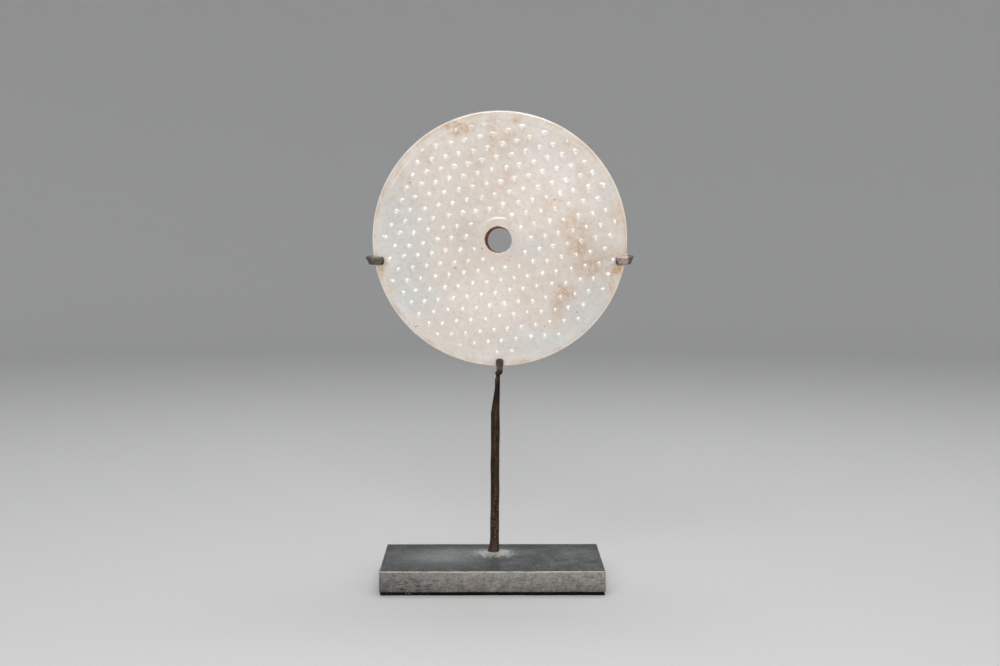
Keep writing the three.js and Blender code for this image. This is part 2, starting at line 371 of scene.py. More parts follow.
@dataclass(frozen=True)
class JadeFinish:
    """Pale, slightly see-through jade with smoky russet stains, cloudy patches and fine specks.

    Attributes:
        middle: The middle of the disc.
        radius: The disc's radius.
        hole: The hole's place, across and up from the middle.
        hole_radius: The radius of the hole's mouth.
        pale: The stone's ground.
        milky: The paler clouds in it.
        dusky: The darker flecks in it.
        grey: The finest dark grains in it.
        polish_and_highlight: Grain tips, grit and scratches worn pale, and painted highlights on tips and
            lines.
        painted_rim_glow: A painted glow along the sharp edge of the rim.
        brightened: What each colour is multiplied by in the brighter areas.
        dulled: What each colour is multiplied by in the duller areas.
        light_reach: How far light goes into the stone, in metres.
        scuff_heading: How far the fine scratches run to the right, and how far up.
    """

    middle: Vector
    radius: float
    hole: tuple[float, float]
    hole_radius: float
    pale: Colour = (0.80, 0.745, 0.685)
    beige: Colour = (0.78, 0.66, 0.55)
    cool: Colour = (0.70, 0.715, 0.695)
    russet: Colour = (0.58, 0.32, 0.105)
    polish_and_highlight: Colour = (0.97, 0.96, 0.94)
    bore: Colour = (0.13, 0.032, 0.003)
    soil: Colour = (0.13, 0.10, 0.075)
    milky: Colour = (0.88, 0.87, 0.85)
    dusky: Colour = (0.50, 0.43, 0.36)
    grey: Colour = (0.42, 0.36, 0.30)
    painted_rim_glow: Colour = (0.98, 0.90, 0.79)
    brightened: Colour = (1.075, 1.095, 1.12)
    dulled: Colour = (0.90, 0.90, 0.905)
    light_reach: float = 0.003
    scuff_heading: tuple[float, float] = (0.55, 0.84)
    russet_patches: tuple[Patch, ...] = (
        Patch(-27.0, 66.5, 13.0, 5.0, 0.95),
        Patch(-66.5, 40.0, 2.5, 6.0, 0.60),
        Patch(-5.0, 62.0, 3.5, 12.0, 0.45),
        Patch(6.0, 57.0, 13.0, 8.0, 0.38),
        Patch(10.0, 70.0, 3.0, 3.0, 0.60),
        Patch(43.0, 55.0, 9.0, 6.0, 0.30),
        Patch(-59.0, 41.0, 4.0, 9.0, 0.35),
        Patch(-44.0, 50.0, 5.0, 6.0, 0.38),
        Patch(-15.0, 47.0, 7.0, 9.0, 0.30),
        Patch(4.0, 38.0, 5.0, 9.0, 0.30),
        Patch(29.0, 21.0, 8.0, 7.0, 0.30),
        Patch(48.0, 36.0, 4.0, 11.0, 0.38),
        Patch(70.0, 13.0, 5.0, 9.0, 0.50),
        Patch(44.0, 7.0, 9.0, 10.0, 0.46),
        Patch(47.0, -5.0, 7.0, 8.0, 0.74),
        Patch(54.0, -16.0, 10.0, 7.0, 0.62),
        Patch(66.0, -13.0, 12.0, 8.0, 0.50),
        Patch(71.0, -18.0, 5.0, 4.5, 1.00),
        Patch(66.0, -27.0, 4.0, 8.0, 0.50),
        Patch(39.0, -31.0, 7.0, 6.0, 0.85),
        Patch(34.0, -40.0, 4.5, 6.0, 0.60),
        Patch(15.0, -35.0, 4.0, 4.0, 0.30),
        Patch(-70.5, -17.5, 3.5, 5.5, 1.00),
        Patch(-66.0, -31.0, 4.0, 9.0, 0.30),
    )
    cool_patches: tuple[Patch, ...] = (
        Patch(-56.0, -2.0, 20.0, 30.0, 0.95),
        Patch(-50.0, -34.0, 20.0, 16.0, 1.00),
        Patch(-24.0, 20.0, 22.0, 14.0, 0.40),
        Patch(52.0, -44.0, 18.0, 16.0, 1.00),
        Patch(26.0, -60.0, 30.0, 11.0, 0.95),
        Patch(18.0, -7.0, 17.0, 9.0, 0.75),
        Patch(24.0, 50.0, 26.0, 13.0, 0.45),
        Patch(63.0, 28.0, 9.0, 18.0, 0.40),
    )
    brighter: tuple[Patch, ...] = (
        Patch(29.0, 29.0, 27.0, 27.0, 0.90),
        Patch(-6.0, -37.0, 22.0, 17.0, 1.00),
    )
    duller: tuple[Patch, ...] = (
        Patch(56.0, -20.0, 17.0, 24.0, 1.00),
        Patch(40.0, -45.0, 12.0, 10.0, 0.60),
        Patch(-22.0, 1.0, 8.0, 10.0, 0.90),
        Patch(0.0, -3.0, 11.0, 10.0, 0.90),
        Patch(-58.0, 24.0, 14.0, 14.0, 0.70),
        Patch(-56.0, -20.0, 10.0, 10.0, 0.50),
    )
    scuffed: tuple[Patch, ...] = (
        Patch(56.0, -40.0, 11.0, 14.0),
        Patch(42.0, -55.0, 14.0, 9.0, 0.7),
    )
    specks: tuple[Patch, ...] = (
        Patch(-52.8, 33.0, 0.62, 0.50),
        Patch(32.0, 22.9, 0.62, 0.50),
        Patch(-10.6, -5.6, 0.62, 0.50),
        Patch(-26.2, -17.2, 0.70, 0.45, 0.8),
        Patch(-31.0, -22.0, 0.45, 0.55, 0.6),
        Patch(-47.0, -14.3, 0.90, 0.40, 0.4),
        Patch(45.5, -43.2, 0.55, 0.50),
        Patch(26.4, -51.7, 0.60, 0.45, 0.7),
        Patch(17.6, -50.6, 0.60, 0.42, 0.6),
        Patch(-49.6, -51.6, 1.30, 0.40, 0.7),
        Patch(5.6, -12.9, 0.80, 0.40, 0.5),
        Patch(-37.5, -31.6, 0.60, 0.50, 0.35),
    )

    def material(self) -> bpy.types.Material:
        """Build the material.

        Returns:
            The material.
        """
        board = Board("jade")
        cloud = board.noise(9.0, 5.0, 0.62, shift=40.0)
        fine = board.noise(2.1, 4.0, 0.65, shift=90.0)
        grit = board.noise(0.9, 3.0, 0.7, shift=15.0)
        wandering = board.warped(9.0, 9.0)
        reach = self._reach(board, 0.0, 0.0)
        broad = board.warped(24.0, 16.0)
        cool = self._covered(board, broad, self.cool_patches, 1.3)
        stained = self._covered(board, wandering, self.russet_patches, 1.5)
        russet = self._smoke(board, fine) * stained * 0.92 + stained * stained * 0.07
        colour = board.tinted(
            board.mix(cool * (0.55 + cloud * 0.6), self.pale, self.cool),
            (self._beige(board, cloud) * (1.0 - cool * 0.75), self.beige),
            (cloud.ease(0.50, 0.70) * 0.40, self.milky),
            (fine.ease(0.54, 0.30) * 0.24, self.dusky),
            (grit.ease(0.46, 0.32) * 0.12, self.grey),
            (grit.ease(0.56, 0.70) * 0.22, self.polish_and_highlight),
            (russet.most(self._edge_tint(board, reach)), self.russet),
        )
        bright = self._covered(board, broad, self.brighter, 1.5)
        colour = board.mix(bright, colour, self.brightened, "MULTIPLY")
        dull = self._covered(board, broad, self.duller, 1.5)
        colour = board.mix(dull, colour, self.dulled, "MULTIPLY")
        specks = self._covered(board, board.warped(1.5, 0.5), self.specks, 1.4)
        arris = reach.ease(self.radius - 0.75, self.radius - 0.35)
        in_bore = self._in_bore(board, fine)
        colour = board.tinted(
            colour,
            (specks * 0.85, self.soil),
            (self._scuffs(board) * 0.60, self.polish_and_highlight),
            # Painted highlight along the incised rim line and the upper arc of the ring round the hole.
            (board.attribute("groove") * (0.25 + cloud * 0.5), self.polish_and_highlight),
            # Grain tips and some tails are paler from polish and also carry a painted highlight for each
            # grain's glint.
            (board.attribute("tip").ease(0.05, 0.80) * 0.70, self.polish_and_highlight),
            # Painted glow along the rim's sharp edge.
            (arris * 0.60, self.painted_rim_glow),
            (in_bore, self.bore),
        )
        polish = board.noise(0.8, 2.0, 0.5, shift=7.0)
        return board.surface(
            Base_Color=colour,
            Roughness=0.12 + fine * 0.09 + cloud * 0.03 + in_bore * 0.78,
            IOR=1.61,
            Subsurface_Weight=0.6,
            Subsurface_Radius=(1.0, 0.85, 0.65),
            Subsurface_Scale=self.light_reach,
            Normal=board.bump(grit * in_bore, 0.4, board.bump(polish, 0.010, board.bump(cloud, 0.04))),
        )

    def _reach(self, board: Board, across: float, up: float) -> Wire:
        """The distance from an axis through the disc at a place on its face."""
        offset = board.vector("SUBTRACT", board.place, (across, 0.0, self.middle.z + up))
        return board.vector("LENGTH", board.vector("MULTIPLY", offset, (1.0, 0.0, 1.0)))

    def _covered(self, board: Board, where: Wire, patches: Sequence[Patch], fading: float) -> Wire:
        """Where a set of patches lies.

        Args:
            board: The material's nodes.
            where: The place, moved about so that the patches have uneven edges.
            patches: The patches.
            fading: How far out a patch fades, as a multiple of its size.

        Returns:
            How strong the patches are, from 0 to 1.
        """
        total: Wire | None = None
        for patch in patches:
            offset = board.vector("SUBTRACT", where, (patch.across, 0.0, self.middle.z + patch.up))
            shares = (1.0 / patch.width, 0.0, 1.0 / patch.height)
            reach = board.vector("LENGTH", board.vector("MULTIPLY", offset, shares))
            spot = reach.ease(fading, fading - 1.3) * patch.strength
            total = spot if total is None else total.most(spot)
        return total

    def _beige(self, board: Board, cloud: Wire) -> Wire:
        """Where the stone is warmer, over its middle and right half, in soft flecks."""
        offset = board.vector("SUBTRACT", board.warped(30.0, 26.0), (12.0, 0.0, self.middle.z + 2.0))
        reach = board.vector("LENGTH", board.vector("MULTIPLY", offset, (1.0, 0.0, 0.75)))
        flecks = board.noise(5.0, 5.0, 0.68, shift=61.0)
        return reach.ease(78.0, 14.0) * (cloud * 0.35 + flecks.ease(0.38, 0.70) * 0.75)

    @staticmethod
    def _smoke(board: Board, fine: Wire) -> Wire:
        """Thin smoky veins with a faint tint between them."""
        wavy = board.noise(6.0, 5.0, 0.7, place=board.warped(4.0, 3.0), shift=33.0)
        veins = abs(wavy - 0.5).ease(0.075, 0.0)
        clouds = board.noise(2.6, 4.0, 0.75, shift=77.0).ease(0.44, 0.66)
        return 0.07 + veins * 0.60 + clouds * 0.35 + fine * 0.12

    def _scuffs(self, board: Board) -> Wire:
        """Fine pale scratches low on the right, which run up and to the right."""
        right, up = self.scuff_heading
        along = board.x * right + board.z * up
        across = board.x * up - board.z * right
        turned = board.node("ShaderNodeCombineXYZ", {}, {0: along * 0.09, 1: across * 1.3})
        lines = board.noise(1.0, 3.0, 0.6, place=turned, shift=55.0)
        near = self._covered(board, board.warped(9.0, 5.0), self.scuffed, 1.4)
        return lines.ease(0.58, 0.66) * near

    def _edge_tint(self, board: Board, reach: Wire) -> Wire:
        """The russet tint along the outer edge, in long broken stretches."""
        broken = board.noise(17.0, 3.0, 0.6, shift=29.0).ease(0.40, 0.64)
        return reach.ease(self.radius - 3.4, self.radius - 1.0) * (broken * 0.34 + 0.05)

    def _in_bore(self, board: Board, fine: Wire) -> Wire:
        """Where the bore's wall is dark, up to its very edge at the upper left."""
        side = self._reach(board, self.hole[0] - 0.9, self.hole[1] + 0.9)
        reach = self._reach(board, *self.hole) * 0.5 + side * 0.5 + (fine - 0.5) * 0.7
        return reach.ease(self.hole_radius + 0.55, self.hole_radius - 0.05) * 0.98


@dataclass(frozen=True)
class PatinaFinish:
    """Brass under a dark patina, drawn or brushed along one axis.

    Attributes:
        name: The material's name.
        dark: The patina's colour where it is thick.
        light: Its colour where the patina is at its thinnest.
        grain: How long the streaks are along each axis.
        worn: The colour of bare metal.
    """

    name: str
    dark: Colour
    light: Colour
    grain: tuple[float, float, float]
    worn: Colour = (0.62, 0.38, 0.22)
    roughness: float = 0.42
    metallic: float = 0.75

    def patina(self, board: Board) -> tuple[Wire, Wire, Wire]:
        """Lay the patina down.

        Args:
            board: The material's nodes.

        Returns:
            Its colour, its streaks and its blotches.
        """
        along = board.vector("DIVIDE", board.place, self.grain)
        streaks = board.noise(1.0, 4.0, 0.65, place=along)
        blotches = board.noise(3.2, 4.0, 0.6, shift=21.0)
        share = streaks.ease(0.30, 0.72) * 0.6 + blotches.ease(0.35, 0.70) * 0.4
        return board.mix(share, self.dark, self.light), streaks, blotches

    def finish(self, board: Board, colour: Wire, streaks: Wire, blotches: Wire) -> bpy.types.Material:
        """Put the shader under the patina.

        Args:
            board: The material's nodes.
            colour: The finished colour.
            streaks: The streaks.
            blotches: The blotches.

        Returns:
            The material.
        """
        pits = board.noise(0.7, 2.0, 0.5, shift=3.0)
        return board.surface(
            Base_Color=colour,
            Metallic=self.metallic,
            Roughness=self.roughness - 0.1 + streaks * 0.12 + blotches * 0.12,
            Normal=board.bump(pits, 0.03, board.bump(streaks, 0.05)),
        )

    def material(self) -> bpy.types.Material:
        """Build the plain material.

        Returns:
            The material.
        """
        board = Board(self.name)
        return self.finish(board, *self.patina(board))


@dataclass(frozen=True)
class HookFinish(PatinaFinish):
    """The hook's patina, with a painted highlight across the bend and painted shade on its underside.

    Attributes:
        bend_top: The height where the hook begins to bend under the disc.
        spotted: The dark spots.
        rubbed_and_highlight: A painted highlight across the bend.
        shaded: The underside.
    """

    bend_top: float = 1.0
    spotted: Colour = (0.030, 0.024, 0.020)
    rubbed_and_highlight: Colour = (0.24, 0.225, 0.21)
    shaded: Colour = (0.028, 0.026, 0.025)

    def material(self) -> bpy.types.Material:
        """Build the material.

        Returns:
            The material.
        """
        board = Board(self.name)
        colour, streaks, blotches = self.patina(board)
        spots = board.noise(1.3, 3.0, 0.6, shift=51.0)
        # Painted highlight across the bend, where the strap faces up to the light.
        painted_bend_highlight = abs(board.z - (self.bend_top - 1.4) + (spots - 0.5) * 0.8).ease(0.75, 0.15)
        under = (board.z + (spots - 0.5) * 1.5).ease(self.bend_top - 2.0, self.bend_top - 4.6)
        colour = board.tinted(
            colour,
            (spots.ease(0.50, 0.36) * 0.55, self.spotted),
            (painted_bend_highlight * 0.26, self.rubbed_and_highlight),
            (under * 0.65, self.shaded),
        )
        return self.finish(board, colour, streaks, blotches)


@dataclass(frozen=True)
class ClipFinish(PatinaFinish):
    """Cross strap patina: worn pale on the right prong, greyer where it turns back; painted light and shade.

    Attributes:
        tip: How far out from the middle the prongs' tips are.
        top: The height of the prongs' upper edge.
        middle: The middle of the disc's thickness.
        rubbed_and_highlight: The right prong, where the patina is worn.
        grey: The strap behind the disc.
        painted_turn_highlight: A painted highlight on the right end, where it turns back.
        spotted: The dark spots.
        bright: The prongs' upper edge, worn lighter and with a painted highlight.
        turned: The shaded turn of the right clip.
        painted_tip_shade: Painted shade on the prongs' rounded tips and lower corners.
    """

    tip: float = 1.0
    top: float = 1.0
    middle: float = 0.0
    rubbed_and_highlight: Colour = (0.47, 0.37, 0.30)
    grey: Colour = (0.23, 0.245, 0.235)
    painted_turn_highlight: Colour = (0.58, 0.61, 0.59)
    spotted: Colour = (0.060, 0.048, 0.040)
    bright: Colour = (0.66, 0.57, 0.50)
    turned: Colour = (0.085, 0.070, 0.058)
    painted_tip_shade: Colour = (0.030, 0.024, 0.020)

    def material(self) -> bpy.types.Material:
        """Build the material.

        Returns:
            The material.
        """
        board = Board(self.name)
        colour, streaks, blotches = self.patina(board)
        spots = board.noise(1.4, 3.0, 0.6, shift=51.0)
        front = 1.0 - board.y.ease(self.middle - 2.6, self.middle + 0.2)
        # Painted highlight on the right turn behind the disc, which faces up to the light.
        lit_right_turn = board.x.ease(self.tip + 3.0, self.tip + 7.0) * (1.0 - front)
        right = board.x.ease(self.tip - 8.0, self.tip) * front
        # The prongs' upper edge, worn lighter, with a painted highlight along it.
        edge = (board.z + (spots - 0.5) * 0.5).ease(self.top - 0.75, self.top - 0.2) * front
        turn = board.x.ease(self.tip + 7.0, self.tip + 8.2) * front
        # Painted shade on the prongs' rounded tips and lower corners.
        low_corner = abs(board.x) + (board.z - self.top) * 0.45 + (spots - 0.5) * 0.8
        shaded_tip = low_corner.ease(self.tip + 0.7, self.tip - 0.9) * front
        colour = board.tinted(
            colour,
            ((1.0 - front) * 0.7, self.grey),
            (lit_right_turn * 0.75, self.painted_turn_highlight),
            (right * (0.35 + blotches * 0.8), self.rubbed_and_highlight),
            (spots.ease(0.56, 0.36) * 0.50, self.spotted),
            (edge * (0.20 + right * 0.55), self.bright),
            (turn * 0.70, self.turned),
            (shaded_tip * 0.85, self.painted_tip_shade),
        )
        return self.finish(board, colour, streaks, blotches)


@dataclass(frozen=True)
class RodFinish(PatinaFinish):
    """The rod's patina, with a small copper-coloured scrape at its top and a rosy foot.

    Attributes:
        scrape: The middle of the scrape, across and up.
        foot_top: The height where the rosy foot ends.
        golden: The speckle low on the rod.
        blotched: The dark blotches.
        rosy: The foot.
        painted_top_shade: Painted shade on the rod's upper part, below the filed face.
        filed: Painted shade over the filed face.
        coppery: The scrape.
    """

    scrape: tuple[float, float] = (0.0, 0.0)
    foot_top: float = 1.0
    golden: Colour = (0.34, 0.26, 0.165)
    blotched: Colour = (0.022, 0.013, 0.007)
    rosy: Colour = (0.095, 0.060, 0.047)
    painted_top_shade: Colour = (0.012, 0.009, 0.007)
    filed: Colour = (0.018, 0.008, 0.004)
    coppery: Colour = (0.56, 0.38, 0.25)

    def material(self) -> bpy.types.Material:
        """Build the material.

        Returns:
            The material.
        """
        board = Board(self.name)
        colour, streaks, blotches = self.patina(board)
        low_down = board.z.ease(self.foot_top + 32.0, self.foot_top - 3.0)
        speckle = board.noise(1.0, 3.0, 0.7, place=board.stretched(2.0, 2.0, 0.9), shift=31.0)
        foot = (board.z + (blotches - 0.5) * 8.0).ease(self.foot_top - 1.0, self.foot_top - 8.0)
        # Painted shade: the rod darkens upwards to the filed face, where the disc and the hook shade it.
        thick = (board.z + (blotches - 0.5) * 6.0).ease(self.scrape[1] - 18.5, self.scrape[1] - 11.0)
        bare = board.attribute("bare")
        offset = board.vector("SUBTRACT", board.place, (self.scrape[0], 0.0, self.scrape[1]))
        reach = board.vector("LENGTH", board.vector("MULTIPLY", offset, (0.95, 0.0, 0.42)))
        scraped = (reach + (blotches - 0.5) * 0.5).ease(1.25, 0.35) * bare
        colour = board.tinted(
            colour,
            (speckle.ease(0.52, 0.63) * (0.16 + low_down * 0.62), self.golden),
            (blotches.ease(0.50, 0.36) * 0.55, self.blotched),
            (foot * 0.75, self.rosy),
            (thick * 0.88, self.painted_top_shade),
            # Painted shade over the filed face, under the copper scrape.
            (bare * 0.92, self.filed),
            (scraped, self.coppery),
        )
        return self.finish(board, colour, streaks, blotches)


@dataclass(frozen=True)
class BlockFinish(PatinaFinish):
    """The block's patina: brushed sides paled upwards by painted light, a cloudy top and a worn upper edge.

    Attributes:
        box: The block's box.
        foot: The place of the rod's foot on it.
        painted_top_light: Painted light, which pales the sides towards their top.
        rosy: The sides' rosy areas.
        dark_lines: The dark brush lines on the sides.
        pale_lines: The pale brush lines.
        dark_flecks: The dark flecks between the lines.
        pale_flecks: The pale flecks between them.
        left_shade: What each colour is multiplied by at the left end.
        scratched: The pits and scratches.
        smoky: The top where it is dark.
        chalky: The top where it is pale.
    """

    box: Box = field(default_factory=lambda: Box(Vector(), Vector((1, 1, 1))))
    foot: tuple[float, float] = (0.0, 0.0)
    painted_top_light: Colour = (0.56, 0.54, 0.50)
    rosy: Colour = (0.46, 0.33, 0.27)
    dark_lines: Colour = (0.080, 0.076, 0.071)
    pale_lines: Colour = (0.56, 0.54, 0.50)
    dark_flecks: Colour = (0.070, 0.066, 0.062)
    pale_flecks: Colour = (0.56, 0.53, 0.49)
    left_shade: Colour = (0.76, 0.77, 0.78)
    scratched: Colour = (0.030, 0.028, 0.026)
    smoky: Colour = (0.046, 0.050, 0.052)
    chalky: Colour = (0.78, 0.785, 0.77)

    def material(self) -> bpy.types.Material:
        """Build the material.

        Returns:
            The material.
        """
        board = Board(self.name)
        colour, streaks, blotches = self.patina(board)
        height = self.box.size.z
        # Painted light: the sides pale towards the top, where more light falls on them.
        rise = ((board.z - self.box.low.z) * (1.0 / height) + (blotches - 0.5) * 0.5).ease(-0.1, 1.1)
        rosy = board.noise(19.0, 3.0, 0.6, shift=43.0).ease(0.46, 0.66)
        lines = board.noise(1.0, 5.0, 0.75, place=board.stretched(0.11, 0.11, 2.6), shift=19.0)
        mottle = board.noise(1.6, 4.0, 0.75, shift=87.0)
        colour = board.tinted(
            colour,
            # Painted light towards the top of the sides.
            (rise * 0.50, self.painted_top_light),
            (rosy * 0.20, self.rosy),
            (lines.ease(0.54, 0.36) * 0.60, self.dark_lines),
            (lines.ease(0.56, 0.70) * 0.45, self.pale_lines),
            (mottle.ease(0.50, 0.34) * 0.50, self.dark_flecks),
            (mottle.ease(0.54, 0.70) * 0.40, self.pale_flecks),
        )
        left_end = board.x.ease(self.box.middle.x - 8.0, self.box.low.x)
        colour = board.mix(left_end * 0.9, colour, self.left_shade, "MULTIPLY")
        top = board.z.ease(self.box.high.z - 0.40, self.box.high.z - 0.08)
        colour = board.tinted(
            colour,
            (top * 0.92, self._cloudy_top(board)),
            (self._scratches(board) * (1.0 - top), self.scratched),
            (self._worn_edge(board), self.worn),
        )
        return self.finish(board, colour, streaks, blotches)

    def _cloudy_top(self, board: Board) -> Wire:
        """The smoky top, pale round the rod's foot and a little paler at the left and the right."""
        cloud = board.noise(17.0, 5.0, 0.65, place=board.warped(20.0, 14.0), shift=17.0)
        drawn = board.stretched(1.0, 0.3, 1.0)
        fine = board.noise(2.8, 4.0, 0.7, place=drawn, shift=71.0)
        grit = board.noise(1.1, 3.0, 0.7, place=drawn, shift=27.0)
        ragged = (fine - 0.5) * 1.6 + (cloud - 0.5) * 0.9
        core = self._oval(board, self.foot[0] + 1.0, self.foot[1] - 6.0, 15.5, 15.0) + ragged
        core = (core + (grit - 0.5) * 1.6).ease(1.15, 0.40)
        veil = (self._oval(board, self.foot[0] - 8.0, self.foot[1], 34.0, 15.0) + ragged).ease(1.25, 0.30)
        left = (self._oval(board, self.box.low.x + 34.0, 2.0, 30.0, 28.0) + ragged * 1.4).ease(1.2, 0.2)
        right = (self._oval(board, self.box.high.x - 14.0, 14.0, 16.0, 16.0) + ragged * 1.4).ease(1.2, 0.3)
        close = self._oval(board, self.foot[0] + 1.0, self.foot[1] - 3.5, 9.0, 8.0).ease(1.2, 0.5)
        bloom = core * (0.12 + grit.ease(0.36, 0.60) * 0.80) + close * (0.10 + grit * 0.30)
        pale = bloom + veil * 0.12 + left * 0.27 + right * 0.12
        pale = pale - board.y.ease(-5.0, self.box.high.y) * 0.10
        pale = pale + cloud.ease(0.42, 0.66) * 0.14 + (fine - 0.5) * 0.60 + (grit - 0.5) * 0.45
        return board.mix(pale.ease(-0.20, 1.15), self.smoky, self.chalky)

    @staticmethod
    def _oval(board: Board, across: float, back: float, width: float, depth: float) -> Wire:
        """How far out of an oval on the top a place is, where 1 is its edge.

        Args:
            board: The material's nodes.
            across: The oval's middle, across.
            back: The oval's middle, front to back.
            width: Half its breadth.
            depth: Half its depth.

        Returns:
            The distance from its middle, as a multiple of its size.
        """
        offset = board.vector("SUBTRACT", board.place, (across, back, 0.0))
        return board.vector("LENGTH", board.vector("MULTIPLY", offset, (1.0 / width, 1.0 / depth, 0.0)))

    def _scratches(self, board: Board) -> Wire:
        """Dark pits and scratches, mostly low on the left of the front side."""
        flakes = board.noise(1.0, 3.0, 0.7, place=board.stretched(0.30, 1.0, 1.1), shift=5.0)
        spot = (self.box.low.x + 20.0, self.box.low.y, self.box.low.z + 3.5)
        near = board.vector("SUBTRACT", board.place, spot)
        reach = board.vector("LENGTH", board.vector("MULTIPLY", near, (0.4, 0.2, 1.0)))
        return flakes.ease(0.56, 0.63) * (0.10 + reach.ease(7.0, 2.0) * 0.9)

    def _worn_edge(self, board: Board) -> Wire:
        """Bare metal along the upper edges, strongest at the front."""
        down = self.box.high.z - board.z
        front = board.y - self.box.low.y
        side = abs(board.x - self.box.middle.x) * -1.0 + self.box.size.x / 2
        broken = board.noise(4.0, 4.0, 0.65, shift=11.0)
        front_edge = (down + front).ease(0.62, 0.34) * broken.ease(0.22, 0.50)
        side_edge = (down + side).ease(0.72, 0.38) * broken.ease(0.50, 0.68) * 0.6
        return front_edge.most(side_edge) * 0.85


@dataclass(frozen=True)
class FeltFinish:
    """Black felt with pale dust on it, mostly at its left end."""

    low: Vector
    black: Colour = (0.0045, 0.0045, 0.005)
    fuzzy: Colour = (0.026, 0.026, 0.027)
    dust: Colour = (0.26, 0.25, 0.245)

    def material(self) -> bpy.types.Material:
        """Build the material.

        Returns:
            The material.
        """
        board = Board("felt")
        fuzz = board.noise(0.35, 3.0, 0.7)
        dusty = board.noise(1.4, 4.0, 0.7, shift=8.0).ease(0.54, 0.68)
        left = (board.x - self.low.x).ease(30.0, 22.0) * 0.85 + 0.05
        colour = board.mix(fuzz.ease(0.45, 0.75) * 0.30, self.black, self.fuzzy)
        colour = board.mix(dusty * left, colour, self.dust)
        return board.surface(
            Base_Color=colour,
            Roughness=0.95,
            Specular_IOR_Level=0.15,
            Normal=board.bump(fuzz, 0.25),
        )


@dataclass(frozen=True)
class PaintFinish:
    """A plain, even paint, for the studio's floor and wall."""

    name: str
    colour: Colour
    roughness: float

    def material(self) -> bpy.types.Material:
        """Build the material.

        Returns:
            The material.
        """
        board = Board(self.name)
        return board.surface(Base_Color=rgba(self.colour), Roughness=self.roughness)


def finished(mesh: bmesh.types.BMesh, name: str, crease: float = 35.0) -> bpy.types.Object:
    """Turn a mesh in millimetres into an object in metres, at the origin.

    Args:
        mesh: The mesh, which is used up.
        name: The piece's name.
        crease: The angle between faces above which an edge is left sharp.

    Returns:
        The object.
    """
    bmesh.ops.recalc_face_normals(mesh, faces=mesh.faces)
    limit = math.radians(crease)
    for face in mesh.faces:
        face.smooth = True
    for edge in mesh.edges:
        edge.smooth = edge.calc_face_angle(0.0) < limit
    bmesh.ops.scale(mesh, vec=(MM, MM, MM), verts=mesh.verts)
    data = bpy.data.meshes.new(name)
    mesh.to_mesh(data)
    mesh.free()
    piece = bpy.data.objects.new(name, data)
    bpy.context.scene.collection.objects.link(piece)
    return piece


def points_of(mesh: bmesh.types.BMesh) -> np.ndarray:
    """All the points of a mesh, one to a row."""
    return np.array([vertex.co for vertex in mesh.verts])


def move_points(mesh: bmesh.types.BMesh, points: np.ndarray) -> None:
    """Put every point of a mesh at its new place.

    Args:
        mesh: The mesh.
        points: The new places, one to a row.
    """
    for vertex, point in zip(mesh.verts, points):
        vertex.co = point


def ripple(points: np.ndarray, lengths: Sequence[float], height: float, seed: int) -> np.ndarray:
    """Gentle waves in chance directions, as handwork leaves.

    Args:
        points: The points, one to a row.
        lengths: The length of each wave.
        height: The height of a wave 1 mm long, which grows with the root of its length.
        seed: The seed of the chance.

    Returns:
        The height at each point.
    """
    chance = np.random.default_rng(seed)
    total = np.zeros(len(points))
    for length in lengths:
        heading = chance.normal(size=points.shape[1])
        along = points @ (heading / np.linalg.norm(heading))
        phase = chance.uniform(0.0, 2 * math.pi)
        total += height * math.sqrt(length) * np.sin(2 * math.pi * along / length + phase)
    return total


def put_attribute(piece: bpy.types.Object, name: str, values: np.ndarray) -> None:
    """Store a value for each point of a piece."""
    attribute = piece.data.attributes.new(name, "FLOAT", "POINT")
    attribute.data.foreach_set("value", values.astype(np.float32))


def dress(piece: bpy.types.Object, material: bpy.types.Material, node: str) -> None:
    """Give a piece its material and put it in the frame.

    Args:
        piece: The piece.
        material: Its material.
        node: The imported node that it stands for.
    """
    piece.data.materials.append(material)
    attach(piece, "root")
    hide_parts(node)
    triangles = sum(len(face.vertices) - 2 for face in piece.data.polygons)
    log.info("%s stands for %s, with %d triangles", piece.name, node, triangles)


class Side(Enum):
    """A face of the disc, by the way that it looks along Y."""

    FRONT = -1
    BACK = 1


@dataclass(frozen=True)
class GrainNet:
    """The net on which the grains are laid out, in three directions of rows.

    Attributes:
        pitch: The step from grain to grain along a row.
        row_pitch: The step from row to row.
        turn: How far the rows are turned from level.
        angle: The angle between a row and the line of grains that crosses it.
        start: The net's own start, across and up from the disc's middle.
        fan: How much the rows fan out.
        straying: How far a grain strays from the net.
        seed: The seed of the straying.
    """

    pitch: float = 8.45
    row_pitch: float = 8.35
    turn: float = 9.4
    angle: float = 58.7
    start: tuple[float, float] = (1.3, -3.5)
    fan: float = 0.085
    straying: float = 0.3
    seed: int = 12

    def places(self, hole: tuple[float, float], inner: float, outer: float) -> np.ndarray:
        """Lay the grains out.

        Args:
            hole: The hole's place, across and up from the disc's middle.
            inner: How near to the hole's middle a grain may be.
            outer: How far from the disc's middle it may be.

        Returns:
            The place of each grain, one to a row.
        """
        reach = math.ceil(2 * outer / self.row_pitch)
        turn, rise = math.radians(self.turn), math.radians(self.turn + self.angle)
        steps = np.arange(-reach, reach + 1)
        i, j = (grid.ravel() for grid in np.meshgrid(steps, steps))
        across = self.start[0] + self.pitch * i * math.cos(turn) + self.row_pitch * j * math.cos(rise)
        up = self.start[1] + self.pitch * i * math.sin(turn) + self.row_pitch * j * math.sin(rise)
        up = up + self.fan * (i * j + (i * i + j * j) / 3)
        from_hole = np.hypot(across - hole[0], up - hole[1])
        inside = (from_hole > inner) & (np.hypot(across, up) < outer)
        places = np.stack([across[inside], up[inside]], axis=1)
        return places + np.random.default_rng(self.seed).normal(0.0, self.straying, places.shape)


